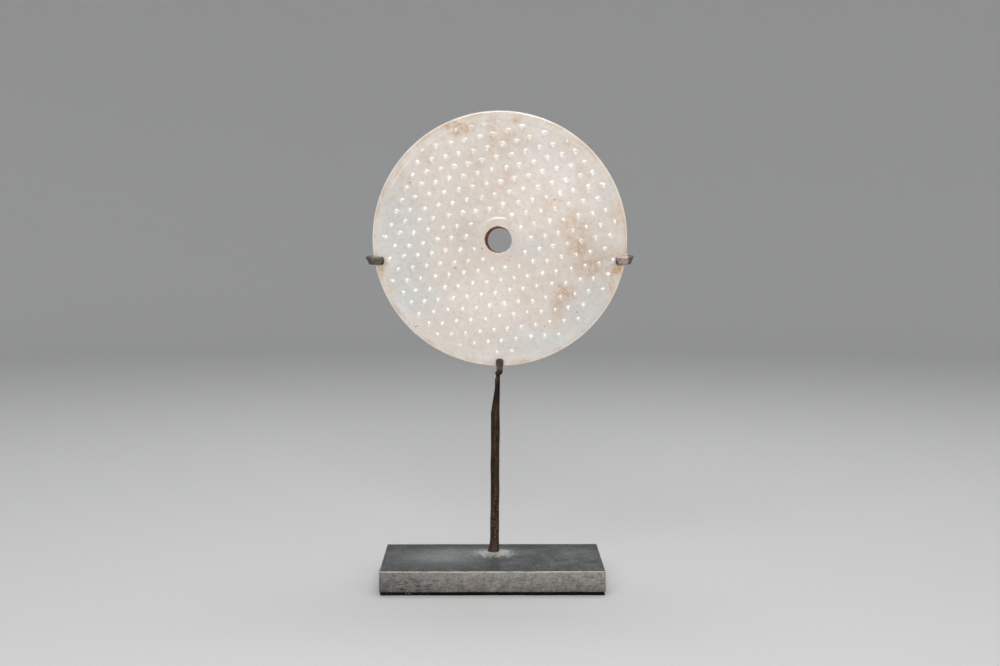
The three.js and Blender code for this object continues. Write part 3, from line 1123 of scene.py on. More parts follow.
@dataclass
class JadeDisc:
    """The carved disc: a sunk field of grains between a rim band and a ring round the hole."""

    box: Box = field(default_factory=lambda: Box.of("bi_disc"))
    thickness: float = 5.0
    rim_band: float = 4.6
    arris: float = 0.6
    field_sink: float = 0.45
    hole: tuple[float, float] = (-0.65, -0.9)
    hole_lean: float = 0.7
    mouth_radius: float = 7.6
    back_radius: float = 7.05
    ring_width: float = 5.1
    mouth_arris: float = 0.35
    rings: int = 118
    wall_cuts: int = 9
    grain_radius: float = 2.3
    grain_height: float = 0.6
    grain_reach: float = 3.2
    gather: float = 1.3
    tail_length: float = 3.6
    tail_height: float = 0.14
    tip_radius: float = 1.15
    line_depth: float = 0.22
    line_width: float = 0.45
    line_stretches: tuple[tuple[float, float, float], ...] = (
        (134.0, 30.0, 1.0), (62.0, 17.0, 0.8), (-86.0, 22.0, 0.60), (-44.0, 20.0, 0.35), (-140.0, 12.0, 0.35),
    )
    net: GrainNet = GrainNet()

    def build(self) -> bpy.types.Object:
        """Make the disc.

        Returns:
            The finished piece.
        """
        mesh = self._blank()
        points, tip, groove = self._carved(points_of(mesh))
        move_points(mesh, points + np.array(self.box.middle))
        disc = finished(mesh, "carved_disc", crease=180.0)
        # The tip and groove values also place the painted highlights on the grains and the incised lines.
        put_attribute(disc, "tip", tip)
        put_attribute(disc, "groove", groove)
        middle = Vector((0.0, self.box.middle.y, self.radius_height))
        finish = JadeFinish(middle, self.radius, self.hole, self.mouth_radius)
        dress(disc, finish.material(), "bi_disc")
        return disc

    @property
    def radius(self) -> float:
        """The disc's radius."""
        return self.box.size.z / 2

    @property
    def radius_height(self) -> float:
        """The height of the disc's middle."""
        return self.box.middle.z

    @property
    def flat_inner(self) -> float:
        """Where a face begins, outside the rounded mouth of the hole."""
        return self.back_radius + self.mouth_arris

    @property
    def flat_outer(self) -> float:
        """Where a face ends, inside the rounded rim."""
        return self.radius - self.arris

    def _blank(self) -> bmesh.types.BMesh:
        """Two faces of evenly spread points, joined by a wall round the rim and one in the hole.

        Returns:
            The blank, with its middle at the origin and its axis along Y.
        """
        mesh = bmesh.new()
        bmesh.ops.create_circle(mesh, cap_ends=True, cap_tris=True, segments=6, radius=1.0)
        bmesh.ops.subdivide_edges(mesh, edges=mesh.edges[:], cuts=self.rings - 1, use_grid_fill=True)
        first = round(self.rings * self.flat_inner / self.flat_outer)
        ring, angle = self._ring_and_angle(points_of(mesh))
        share = (ring - first) / (self.rings - first)
        radius = self.flat_inner + (self.flat_outer - self.flat_inner) * share
        depth = np.full(len(ring), -self.thickness / 2)
        move_points(mesh, np.stack([radius * np.cos(angle), depth, radius * np.sin(angle)], axis=1))
        spare = [vertex for vertex, number in zip(mesh.verts, ring) if number < first - 0.5]
        bmesh.ops.delete(mesh, geom=spare, context="VERTS")
        copy = bmesh.ops.duplicate(mesh, geom=mesh.verts[:] + mesh.edges[:] + mesh.faces[:])["geom"]
        copied = [part for part in copy if isinstance(part, bmesh.types.BMVert)]
        bmesh.ops.translate(mesh, verts=copied, vec=(0.0, self.thickness, 0.0))
        between = (self.flat_inner + self.flat_outer) / 2
        rims = [edge for edge in mesh.edges if edge.is_boundary]
        for outer in (True, False):
            loops = [edge for edge in rims if (edge.verts[0].co.xz.length > between) == outer]
            wall = bmesh.ops.bridge_loops(mesh, edges=loops)["edges"]
            bmesh.ops.subdivide_edges(mesh, edges=wall, cuts=self.wall_cuts)
        return mesh

    def _ring_and_angle(self, points: np.ndarray) -> tuple[np.ndarray, np.ndarray]:
        """Read a hexagonal net as rings.

        Args:
            points: The net's points, within a hexagon of radius 1.

        Returns:
            The number of the ring that each point is on, and its angle there when the ring's
            points are spread evenly round a circle.
        """
        sextant = math.pi / 3
        turned = np.arctan2(points[:, 1], points[:, 0]) - math.pi / 2
        corner = np.floor(turned / sextant + 1e-6)
        beyond = turned - corner * sextant - sextant / 2
        reach = np.hypot(points[:, 0], points[:, 1]) * np.cos(beyond) / math.cos(sextant / 2)
        along = 0.5 + np.tan(beyond) / (2 * math.tan(sextant / 2))
        return np.round(reach * self.rings), (corner + along) * sextant + math.pi / 2

    def _carved(self, points: np.ndarray) -> tuple[np.ndarray, np.ndarray, np.ndarray]:
        """Carve the blank.

        Args:
            points: The blank's points.

        Returns:
            The carved points, how near each is to a grain's tip, and how deep it is in a groove.
        """
        points = points.copy()
        tip, groove = np.zeros(len(points)), np.zeros(len(points))
        face = np.abs(points[:, 1]) > self.thickness / 2 - 0.001
        radius = np.hypot(points[:, 0], points[:, 2])
        self._round_walls(points, radius, ~face)
        for side in Side:
            chosen = face & (points[:, 1] * side.value > 0)
            across = -side.value
            flat = points[chosen][:, [0, 2]] * np.array([across, 1.0])
            moved, height, near_tip, deep = self._relief(flat)
            points[chosen, 0], points[chosen, 2] = moved[:, 0] * across, moved[:, 1]
            points[chosen, 1] += height * side.value
            tip[chosen], groove[chosen] = near_tip, deep
        self._shape_hole(points)
        return points, tip, groove

    def _round_walls(self, points: np.ndarray, radius: np.ndarray, wall: np.ndarray) -> None:
        """Round the rim and the mouths of the hole.

        Args:
            points: The blank's points, which are moved.
            radius: Their distance from the axis.
            wall: Which of them lie on a wall.
        """
        outer = radius > (self.flat_inner + self.flat_outer) / 2
        arris = np.where(outer, self.arris, self.mouth_arris)
        half = self.thickness / 2
        inward = (half - np.abs(points[:, 1])) / (self.thickness * 3 / (self.wall_cuts + 1))
        angle = np.radians(90.0 * (1.0 - np.clip(inward, 0.0, 1.0)))
        straight = np.clip(inward - 1.0, 0.0, None) / ((self.wall_cuts + 1) / 6 - 1.0)
        depth = half - arris * (1.0 - np.sin(angle)) - (half - arris) * straight
        grown = radius + np.where(outer, arris, -arris) * np.cos(angle)
        factor = np.where(wall, grown / radius, 1.0)
        points[:, 0] *= factor
        points[:, 2] *= factor
        points[:, 1] = np.where(wall, np.sign(points[:, 1]) * depth, points[:, 1])

    def _shape_hole(self, points: np.ndarray) -> None:
        """Put the hole a little off the middle, taper it and lean it."""
        radius = np.hypot(points[:, 0], points[:, 2])
        share = np.clip(0.5 + points[:, 1] / self.thickness, 0.0, 1.0)
        near = 1.0 - smoothstep(radius, self.flat_inner, 24.0)
        widening = (self.mouth_radius - self.back_radius) * (1.0 - share) * near
        points[:, [0, 2]] *= (1.0 + widening / radius)[:, None]
        points[:, 0] += (self.hole[0] + self.hole_lean * share) * near
        points[:, 2] += self.hole[1] * near

    def _relief(self, flat: np.ndarray) -> tuple[np.ndarray, np.ndarray, np.ndarray, np.ndarray]:
        """Work out the carving of one face.

        Args:
            flat: The face's points, across and up from its middle.

        Returns:
            The points gathered towards the grains' tips, the height of each above the rim
            band, how near it is to a tip, and how deep it is in a groove.
        """
        ring = self.mouth_radius + self.ring_width
        inner = ring + self.grain_radius / 2
        outer = self.radius - self.rim_band - self.grain_radius / 2
        grains = self.net.places(self.hole, inner, outer)
        nearest, distance = self._nearest(flat, grains)
        share = np.clip(distance / self.grain_reach, 1e-6, 1.0)
        pull = share ** (self.gather - 1.0)
        offset = (flat - grains[nearest]) * pull[:, None]
        flat, distance = grains[nearest] + offset, distance * pull
        angle = np.arctan2(flat[:, 1], flat[:, 0])
        radius = np.hypot(flat[:, 0], flat[:, 1])
        line = self.radius - self.rim_band + self._wander(angle)
        above = smoothstep(np.sin(angle), 0.15, 0.8)
        low = 0.5 - 0.5 * np.sin(angle)
        within = 1.0 - smoothstep(radius, line - 0.9 - 3.7 * low, line - 0.1)
        within *= smoothstep(radius, ring - 0.4 - 2.9 * low, ring + 0.4 + 0.8 * low)
        shallow = np.maximum(0.5 * low * smoothstep(radius, line - 16.0, line), 0.72 - (radius - ring) * 0.06)
        carved, tip = self._grains(offset, distance, nearest, len(grains))
        height = (carved - self.field_sink * (1.0 - np.clip(shallow, 0.0, 0.72))) * within
        incision = np.exp(-(((radius - line) / self.line_width) ** 2)) * self._depth_of_line(angle)
        ringing = np.exp(-(((radius - ring - 0.1) / self.line_width) ** 2)) * above
        height -= self.line_depth * (incision + ringing * 0.15)
        waves = (31.0, 23.0, 13.0, 9.0, 5.5, 4.5, 3.7, 3.1)
        height += ripple(flat, waves, 0.0035, self.net.seed + 2) - 0.02
        highest = self.grain_height - self.field_sink
        # Where a painted highlight goes: along the incised rim line and the upper arc of the ring.
        polish_and_highlight = np.clip(incision + ringing * 0.5, 0.0, 1.0)
        return flat, np.minimum(height, highest), tip * within, polish_and_highlight

    @staticmethod
    def _nearest(flat: np.ndarray, grains: np.ndarray) -> tuple[np.ndarray, np.ndarray]:
        """The nearest grain to each point, and how far it is."""
        nearest = np.zeros(len(flat), int)
        least = np.full(len(flat), np.inf)
        for number, grain in enumerate(grains):
            distance = np.hypot(*(flat - grain).T)
            closer = distance < least
            nearest[closer], least[closer] = number, distance[closer]
        return nearest, least

    def _grains(
        self, offset: np.ndarray, distance: np.ndarray, nearest: np.ndarray, count: int
    ) -> tuple[np.ndarray, np.ndarray]:
        """Shape the grains, and the small curled tails that some of them have.

        Args:
            offset: Each point's place from its nearest grain.
            distance: How far that is.
            nearest: Which grain it is.
            count: How many grains there are.

        Returns:
            The height above the field at each point, and its share of paler polish and painted highlight,
            from 0 to 1.
        """
        chance = np.random.default_rng(self.net.seed + 1)
        size = chance.uniform(0.8, 1.0, count)[nearest]
        heading = chance.normal(math.radians(100.0), 0.9, count)[nearest]
        curl = chance.choice([-1.0, 1.0], count)[nearest] * 0.16
        length = chance.uniform(0.5, 1.0, count)[nearest] * self.tail_length
        gleam = chance.uniform(0.35, 1.0, count)[nearest]
        curled = chance.uniform(-0.5, 0.6, count).clip(0.0)[nearest]
        blunt = np.sqrt(distance**2 + 0.45**2) - 0.45
        slope = np.clip(1.0 - blunt / (self.grain_radius * size), 0.0, 1.0)
        dome = self.grain_height * size * (0.35 * slope + 0.65 * slope * slope * (3.0 - 2.0 * slope))
        along = offset[:, 0] * np.cos(heading) + offset[:, 1] * np.sin(heading)
        beside = -offset[:, 0] * np.sin(heading) + offset[:, 1] * np.cos(heading) - curl * along**2
        fading = smoothstep(along, 0.2, 1.2) * np.clip(1.0 - along / length, 0.0, 1.0)
        trace = np.exp(-((beside / 0.5) ** 2)) * fading
        spot = np.hypot(along * 0.8, beside * 1.25) / (self.tip_radius * size)
        # Paler polish on each tip and on some tails, which also serves as a painted highlight there.
        polish_and_highlight = np.maximum(np.clip(1.0 - spot, 0.0, 1.0) * gleam, trace * curled)
        return np.maximum(dome, self.tail_height * trace), polish_and_highlight

    @staticmethod
    def _wander(angle: np.ndarray) -> np.ndarray:
        """How far the incised line strays in and out round the rim."""
        slow = 0.34 * np.sin(angle * 2 + 0.7) + 0.22 * np.sin(angle * 3 - 1.1)
        return slow + 0.16 * np.sin(angle * 7 + 2.0) + 0.07 * np.sin(angle * 17)

    def _depth_of_line(self, angle: np.ndarray) -> np.ndarray:
        """How deep the incised line is round the rim, from 0 to 1."""
        depth = np.full(len(angle), 0.08)
        for middle, half, strength in self.line_stretches:
            away = np.abs(np.mod(angle - math.radians(middle) + math.pi, 2 * math.pi) - math.pi)
            depth += (1.0 - smoothstep(away, math.radians(half * 0.5), math.radians(half))) * strength
        broken = 0.75 + 0.35 * np.sin(angle * 11 - 0.9) + 0.2 * np.sin(angle * 23)
        return np.clip(depth * broken, 0.04, 1.0)


@dataclass(frozen=True)
class Station:
    """One place along a bent or tapering bar.

    Attributes:
        place: The middle of the bar.
        width: The bar's width there.
        twist: How far the bar is turned about its own path there.
    """

    place: Vector
    width: float
    twist: float = 0.0


def ringed_bar(sides: int, rings: int) -> tuple[bmesh.types.BMesh, np.ndarray, np.ndarray]:
    """A round bar of unit radius, cut into rings that are ready to be placed.

    Args:
        sides: How many sides the bar has.
        rings: How many rings of points it has.

    Returns:
        The mesh, the place of each point round the bar, and the number of its ring.
    """
    mesh = bmesh.new()
    bmesh.ops.create_cone(
        mesh, cap_ends=True, cap_tris=False, segments=sides, radius1=1.0, radius2=1.0, depth=2.0
    )
    lengthwise = [edge for edge in mesh.edges if abs(edge.verts[0].co.z - edge.verts[1].co.z) > 1.0]
    bmesh.ops.subdivide_edges(mesh, edges=lengthwise, cuts=rings - 2)
    points = points_of(mesh)
    numbers = np.round((points[:, 2] + 1.0) / 2.0 * (rings - 1)).astype(int)
    return mesh, points[:, :2], numbers


def bend(centre: tuple[float, float], reach: tuple[float, float], start: float, end: float) -> list[Vector]:
    """Points along a bend, which may be an oval one.

    Args:
        centre: The middle of the bend.
        reach: Its two half breadths.
        start: The angle where it starts.
        end: The angle where it ends.

    Returns:
        The points, with flat places.
    """
    angles = [math.radians(start + (end - start) * step / BEND_STEPS) for step in range(BEND_STEPS + 1)]
    return [Vector((centre[0] + reach[0] * math.cos(a), centre[1] + reach[1] * math.sin(a))) for a in angles]


@dataclass
class BentStrap:
    """A flat strip of brass bent along a path, with softened edges and rounded tips.

    Attributes:
        name: The piece's name.
        node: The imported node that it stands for.
        across: The direction of the strip's width.
        finish: Its finish.
        thickness: The strip's thickness.
        squareness: How square its section is: 2 is an oval and more is squarer.
        unevenness: The height of the hammer marks.
        seed: The seed of the hammer marks.
    """

    name: str
    node: str
    across: Vector
    finish: PatinaFinish
    thickness: float = 1.5
    squareness: float = 7.0
    unevenness: float = 0.012
    seed: int = 3

    def build(self, stations: Sequence[Station]) -> bpy.types.Object:
        """Make the strap.

        Args:
            stations: The places along the strip, from one end to the other.

        Returns:
            The finished piece.
        """
        mesh, unit, numbers = ringed_bar(28, len(stations))
        square = np.sign(unit) * np.abs(unit) ** (2.0 / self.squareness)
        centres = np.array([station.place for station in stations])
        widths = np.array([station.width for station in stations])
        frames = [self._section(stations, number) for number in range(len(stations))]
        breadths = np.array([across for across, _ in frames])
        normals = np.array([normal for _, normal in frames])
        sideways = breadths[numbers] * (square[:, 0] * widths[numbers] / 2)[:, None]
        thick = normals[numbers] * (square[:, 1] * self.thickness / 2)[:, None]
        points = centres[numbers] + sideways + thick
        marks = np.abs(ripple(points, (9.0, 5.0, 3.4, 2.6), self.unevenness, self.seed))
        points -= normals[numbers] * (np.sign(square[:, 1]) * marks)[:, None]
        move_points(mesh, points)
        strap = finished(mesh, self.name, crease=50.0)
        dress(strap, self.finish.material(), self.node)
        return strap

    def _section(self, stations: Sequence[Station], number: int) -> tuple[Vector, Vector]:
        """Find which way the strip lies at a station.

        Args:
            stations: The places along the strip.
            number: Which of them is meant.

        Returns:
            The directions of its width and of its thickness.
        """
        place = stations[number].place
        ahead = (stations[min(number + 1, len(stations) - 1)].place - place).normalized()
        behind = (place - stations[max(number - 1, 0)].place).normalized()
        path = (ahead + behind).normalized()
        turn = Matrix.Rotation(math.radians(stations[number].twist), 3, path)
        normal = path.cross(self.across).normalized()
        return turn @ normal.cross(path), turn @ normal


@dataclass
class Holder:
    """The straps that hold the disc: a hook under it, and a cross strap with a clip at each side."""

    disc: Box = field(default_factory=lambda: Box.of("bi_disc"))
    hook: Box = field(default_factory=lambda: Box.of("hook_strap"))
    cross: Box = field(default_factory=lambda: Box.of("cross_strap"))
    thickness: float = 1.5
    tip_rounding: float = 1.4
    tip_stops: tuple[float, ...] = (0.0, 0.06, 0.15, 0.3, 0.5, 0.75, 1.0)
    hook_width: float = 4.45
    hook_waist: float = 3.7
    waist_run: float = 0.8
    hook_neck: float = 2.7
    hook_shift: float = -0.17
    hook_tail_shift: float = -0.65
    prong_height: float = 4.3
    pinch_height: float = 0.6
    pinch_reach: float = 3.35
    narrowing: float = 1.6
    clip_width: float = 4.8
    back_width: float = 3.3
    clip_narrowing: float = 4.5
    prong_length: float = 6.7
    left_rise: float = 0.5
    right_rise: float = 1.5
    bend_twist: float = -30.0
    bend_tuck: float = 0.7
    back_pieces: int = 30

    @property
    def offset(self) -> float:
        """How far the middle of a strap lies from the middle of the disc."""
        return (self.cross.size.y - self.thickness) / 2

    @property
    def middle(self) -> float:
        """The middle of the disc's thickness."""
        return self.disc.middle.y

    def build(self) -> None:
        """Make both straps."""
        hook_finish = HookFinish(
            "hook_brass", (0.045, 0.037, 0.031), (0.18, 0.150, 0.126), (1.0, 1.0, 4.0),
            bend_top=self.disc.low.z,
        )
        clip_finish = ClipFinish(
            "clip_brass", (0.065, 0.055, 0.046), (0.24, 0.205, 0.175), (5.0, 1.5, 0.9),
            tip=self._bend_place - self.prong_length, top=self.cross.low.z + self.clip_width,
            middle=self.middle,
        )
        BentStrap("hook", "hook_strap", Vector((1, 0, 0)), hook_finish, seed=5).build(self._hook_stations())
        BentStrap("cross_strap_with_clips", "cross_strap", Vector((0, 0, 1)), clip_finish).build(
            self._cross_stations()
        )

    @property
    def _bend_place(self) -> float:
        """How far out the cross strap begins to turn round the rim."""
        return self.cross.size.x / 2 - self.offset - self.thickness / 2

    def _rounded(self, width: float, distance: float) -> float:
        """The width of a strap at a distance from its rounded tip."""
        radius = min(self.tip_rounding, width * 0.4)
        short = min(max(1.0 - distance / radius, 0.0), 1.0)
        return width - 2 * radius * (1.0 - math.sqrt(1.0 - short * short))

    def _hook_stations(self) -> list[Station]:
        """The hook: down from its prong's tip, round under the disc and up behind it."""
        bottom = self.disc.low.z
        top, pinch = bottom + self.prong_height, bottom + self.pinch_height
        lowest = self.hook.low.z + self.thickness / 2
        stops = [self.tip_rounding * share for share in self.tip_stops]
        path = [Vector((-self.offset, top - stop)) for stop in stops]
        path += bend((0.0, pinch), (self.pinch_reach, pinch - lowest), 180.0, 360.0)
        left_over = self.hook.high.z - top
        path += [Vector((self.offset, top + left_over * share)) for share in (0.0, 0.35, 0.7, 1.0)]
        stations = []
        for depth, height in path:
            share = float(smoothstep(np.array(depth), 0.0, self.offset))
            side = self.hook_shift + (self.hook_tail_shift - self.hook_shift) * share
            above_neck = float(smoothstep(np.array(height - lowest), 0.0, self.narrowing))
            above_waist = float(smoothstep(np.array(height - bottom), -self.waist_run, self.waist_run))
            waist = self.hook_neck + (self.hook_waist - self.hook_neck) * above_neck
            width = self._rounded(waist + (self.hook_width - waist) * above_waist, top - height)
            width = self.hook_neck if depth > 0 else width
            stations.append(Station(Vector((side, self.middle + depth, height)), width))
        return stations

    def _cross_stations(self) -> list[Station]:
        """The cross strap: a clip's prong, the bend round the rim, the back, and the other clip."""
        turn = self._bend_place
        tip = turn - self.prong_length
        stops = [self.tip_rounding * share for share in self.tip_stops]
        prong = [Vector((-tip - stop, -self.offset)) for stop in stops]
        prong += [Vector((-tip - (turn - tip) * share, -self.offset)) for share in (0.4, 0.6, 0.8)]
        left = prong + bend((-turn, 0.0), (self.offset - self.bend_tuck, self.offset), 270.0, 90.0)
        steps = range(1, self.back_pieces)
        straight = [Vector((turn * (2 * step / self.back_pieces - 1), self.offset)) for step in steps]
        right = [Vector((-place.x, place.y)) for place in reversed(left)]
        prong_top = self.cross.low.z + self.clip_width
        stations = []
        for across, depth in left + straight + right:
            share = min(max(0.5 + across / (2 * turn), 0.0), 1.0)
            rise = self.left_rise + (self.right_rise - self.left_rise) * share
            top = prong_top + rise * (depth + self.offset) / (2 * self.offset)
            narrowed = float(smoothstep(np.array(depth + self.offset), 0.0, self.clip_narrowing))
            full = self.clip_width + (self.back_width - self.clip_width) * narrowed
            distance = abs(across) - tip if depth < 0 else self.tip_rounding
            beyond = max(abs(across) - turn, 0.0) / (self.offset - self.bend_tuck)
            place = Vector((across, self.middle + depth, top - full / 2))
            stations.append(Station(place, self._rounded(full, distance), self.bend_twist * beyond))
        return stations


@dataclass
class Rod:
    """The round rod: it leans a little, spreads at its foot, and is filed flat at the top."""

    box: Box = field(default_factory=lambda: Box.of("post"))
    disc: Box = field(default_factory=lambda: Box.of("bi_disc"))
    diameter: float = 5.3
    set_back: float = 17.9
    foot_shift: float = -3.13
    lean: float = 0.31
    foot_widening: float = 0.85
    foot_spread: float = 0.75
    foot_height: float = 11.0
    filed_depth: float = 2.5
    scarf_drop: float = 10.85
    scarf_length: float = 7.0
    taper_drop: float = 29.0
    taper_length: float = 15.0
    spine_width: float = 3.0
    tongue_drop: float = 4.8
    tongue_width: float = 2.1
    shoulder_length: float = 0.8
    sides: int = 56
    ring_spacing: float = 1.4
    unevenness: float = 0.02

    def build(self) -> bpy.types.Object:
        """Make the rod.

        Returns:
            The finished piece.
        """
        height = self.box.size.z
        rings = round(height / self.ring_spacing) + 1
        mesh, unit, numbers = ringed_bar(self.sides, rings)
        z = self.box.low.z + height * numbers / (rings - 1)
        flare = np.clip(1.0 - (z - self.box.low.z) / self.foot_height, 0.0, None) ** 2
        radius = self.diameter / 2 + self.foot_widening * flare
        x = self.axis_at(z) - self.foot_spread * flare + unit[:, 0] * radius
        y = self.set_back + unit[:, 1] * radius
        move_points(mesh, np.stack([x, y, z], axis=1))
        front, side = self._filed_planes(), self._taper_planes()
        for place, normal in front + side:
            everything = mesh.verts[:] + mesh.edges[:] + mesh.faces[:]
            bmesh.ops.bisect_plane(mesh, geom=everything, dist=1e-4, plane_co=place, plane_no=normal)
        points = points_of(mesh)
        back = self._scarfed(points[:, 2])
        bare = (points[:, 1] < back) & (points[:, 2] < front[0][0].z + 0.01)
        points[:, 1] = np.maximum(points[:, 1], back)
        points[:, 0] = np.maximum(points[:, 0], self._tapered(points[:, 2]))
        free = smoothstep(points[:, 2], self.box.low.z, self.box.low.z + 2.0)
        wave = ripple(points * np.array([1.0, 1.0, 0.35]), (7.0, 4.1, 2.9, 2.1), self.unevenness, 8) * free
        axis = np.stack([self.axis_at(points[:, 2]), np.full(len(points), self.set_back)], axis=1)
        outward = points[:, :2] - axis
        points[:, :2] += outward / np.maximum(np.hypot(*outward.T), 0.5)[:, None] * wave[:, None]
        move_points(mesh, points)
        rod = finished(mesh, "rod", crease=32.0)
        put_attribute(rod, "bare", bare.astype(float))
        dress(rod, self._finish().material(), "post")
        return rod

    def _finish(self) -> RodFinish:
        """The rod's finish, with its foot and its bright cut where they are on this rod."""
        return RodFinish(
            "rod_brass", (0.008, 0.005, 0.002), (0.080, 0.050, 0.018), (0.8, 0.8, 11.0),
            roughness=0.42, metallic=0.7,
            scrape=(self.axis_at(self._scarf_low + 4.5) - 0.9, self._scarf_low + 4.5),
            foot_top=self.box.low.z + self.foot_height,
        )

    def axis_at(self, z: np.ndarray | float) -> np.ndarray | float:
        """The sideways place of the rod's axis at a height."""
        return self.foot_shift + (z - self.box.low.z) * math.tan(math.radians(self.lean))

    @property
    def _filed_face(self) -> float:
        """Where the filed face lies."""
        return self.set_back - self.diameter / 2 + self.filed_depth

    @property
    def _scarf_low(self) -> float:
        """The height where the sloping cut reaches the rod's front."""
        return self.disc.low.z - self.scarf_drop

    def _scarfed(self, z: np.ndarray) -> np.ndarray:
        """How far back the rod's front is filed at a height."""
        rise = (z - self._scarf_low + self.scarf_length) / (2 * self.scarf_length)
        front = self.set_back - self.diameter / 2 - self.filed_depth
        return front + (self._filed_face - front) * np.minimum(rise, 1.0)

    def _filed_planes(self) -> list[tuple[Vector, Vector]]:
        """The planes of the sloping cut and of the filed face above it."""
        top = Vector((0.0, self._filed_face, self._scarf_low + self.scarf_length))
        slope = Vector((0.0, 2 * self.scarf_length, -2 * self.filed_depth)).normalized()
        level = Vector((0.0, 0.0, 1.0))
        return [(top, level), (top, slope), (top, Vector((0.0, 1.0, 0.0)))]

    @property
    def _taper_low(self) -> float:
        """The height where the left side begins to narrow."""
        return self.disc.low.z - self.taper_drop

    def _corners(self) -> list[tuple[float, float]]:
        """List the corners of the filed left side.

        Returns:
            The sideways place and the height of each corner, from the lowest up.
        """
        tongue_low = self.disc.low.z - self.tongue_drop
        widths = (
            (self._taper_low, self.diameter),
            (self._taper_low + self.taper_length, self.spine_width),
            (tongue_low, self.spine_width),
            (tongue_low + self.shoulder_length, self.tongue_width),
            (self.box.high.z, self.tongue_width),
        )
        return [(self.axis_at(z) + self.diameter / 2 - width, z) for z, width in widths]

    def _tapered(self, z: np.ndarray) -> np.ndarray:
        """How far in the rod's left side is filed at a height."""
        sides, heights = zip(*self._corners())
        return np.where(z < heights[0], -math.inf, np.interp(z, heights, sides))

    def _taper_planes(self) -> list[tuple[Vector, Vector]]:
        """The planes of the filed left side, and the levels of its corners."""
        corners = [Vector((side, 0.0, height)) for side, height in self._corners()]
        planes = [(corner, Vector((0.0, 0.0, 1.0))) for corner in corners[1:-1]]
        for place, above in zip(corners, corners[1:]):
            along = above - place
            planes.append((place, Vector((along.z, 0.0, -along.x)).normalized()))
        return planes


@dataclass
class Block:
    """The solid metal block that the rod stands on, with slightly worn arrises."""

    box: Box = field(default_factory=lambda: Box.of("base_block"))
    foot: tuple[float, float] = (-3.9, 17.9)
    arris: float = 0.5
    spacing: float = 1.5
    wear: float = 0.02
    dents: float = 0.25

    def build(self) -> bpy.types.Object:
        """Make the block.

        Returns:
            The finished piece.
        """
        mesh = bmesh.new()
        bmesh.ops.create_cube(mesh, size=1.0)
        bmesh.ops.scale(mesh, vec=self.box.size, verts=mesh.verts)
        bmesh.ops.bevel(
            mesh, geom=mesh.edges[:], offset=self.arris, offset_type="OFFSET", segments=3,
            profile=0.5, affect="EDGES", material=-1,
        )
        for axis in range(3):
            long = self._long_edges(mesh, axis)
            cuts = round(self.box.size[axis] / self.spacing)
            bmesh.ops.subdivide_edges(mesh, edges=long, cuts=cuts, use_grid_fill=True)
        points = points_of(mesh)
        half = np.array(self.box.size) / 2
        near_edge = np.sort(half - np.abs(points), axis=1)[:, 1]
        wear = np.clip(ripple(points, (19.0, 11.0, 6.7, 4.3, 3.1), 0.05, 4), 0.0, None) * self.dents
        shrink = np.clip(np.abs(ripple(points, (60.0, 37.0), 0.002, 6)), 0.0, self.wear)
        inward = (shrink + wear * np.exp(-near_edge / 0.6))[:, None] * np.sign(points)
        face = (half - np.abs(points)) < self.arris * 1.01
        move_points(mesh, points - np.where(face, inward, 0.0) + np.array(self.box.middle))
        block = finished(mesh, "block", crease=60.0)
        finish = BlockFinish(
            "block_brass", (0.105, 0.100, 0.092), (0.36, 0.345, 0.32), (22.0, 22.0, 0.30),
            worn=(0.60, 0.51, 0.43), roughness=0.46, metallic=0.6, box=self.box, foot=self.foot,
        )
        dress(block, finish.material(), "base_block")
        return block

    @staticmethod
    def _long_edges(mesh: bmesh.types.BMesh, axis: int) -> list[bmesh.types.BMEdge]:
        """The edges that run a long way along an axis."""
        return [edge for edge in mesh.edges if abs((edge.verts[0].co - edge.verts[1].co)[axis]) > 2.0]


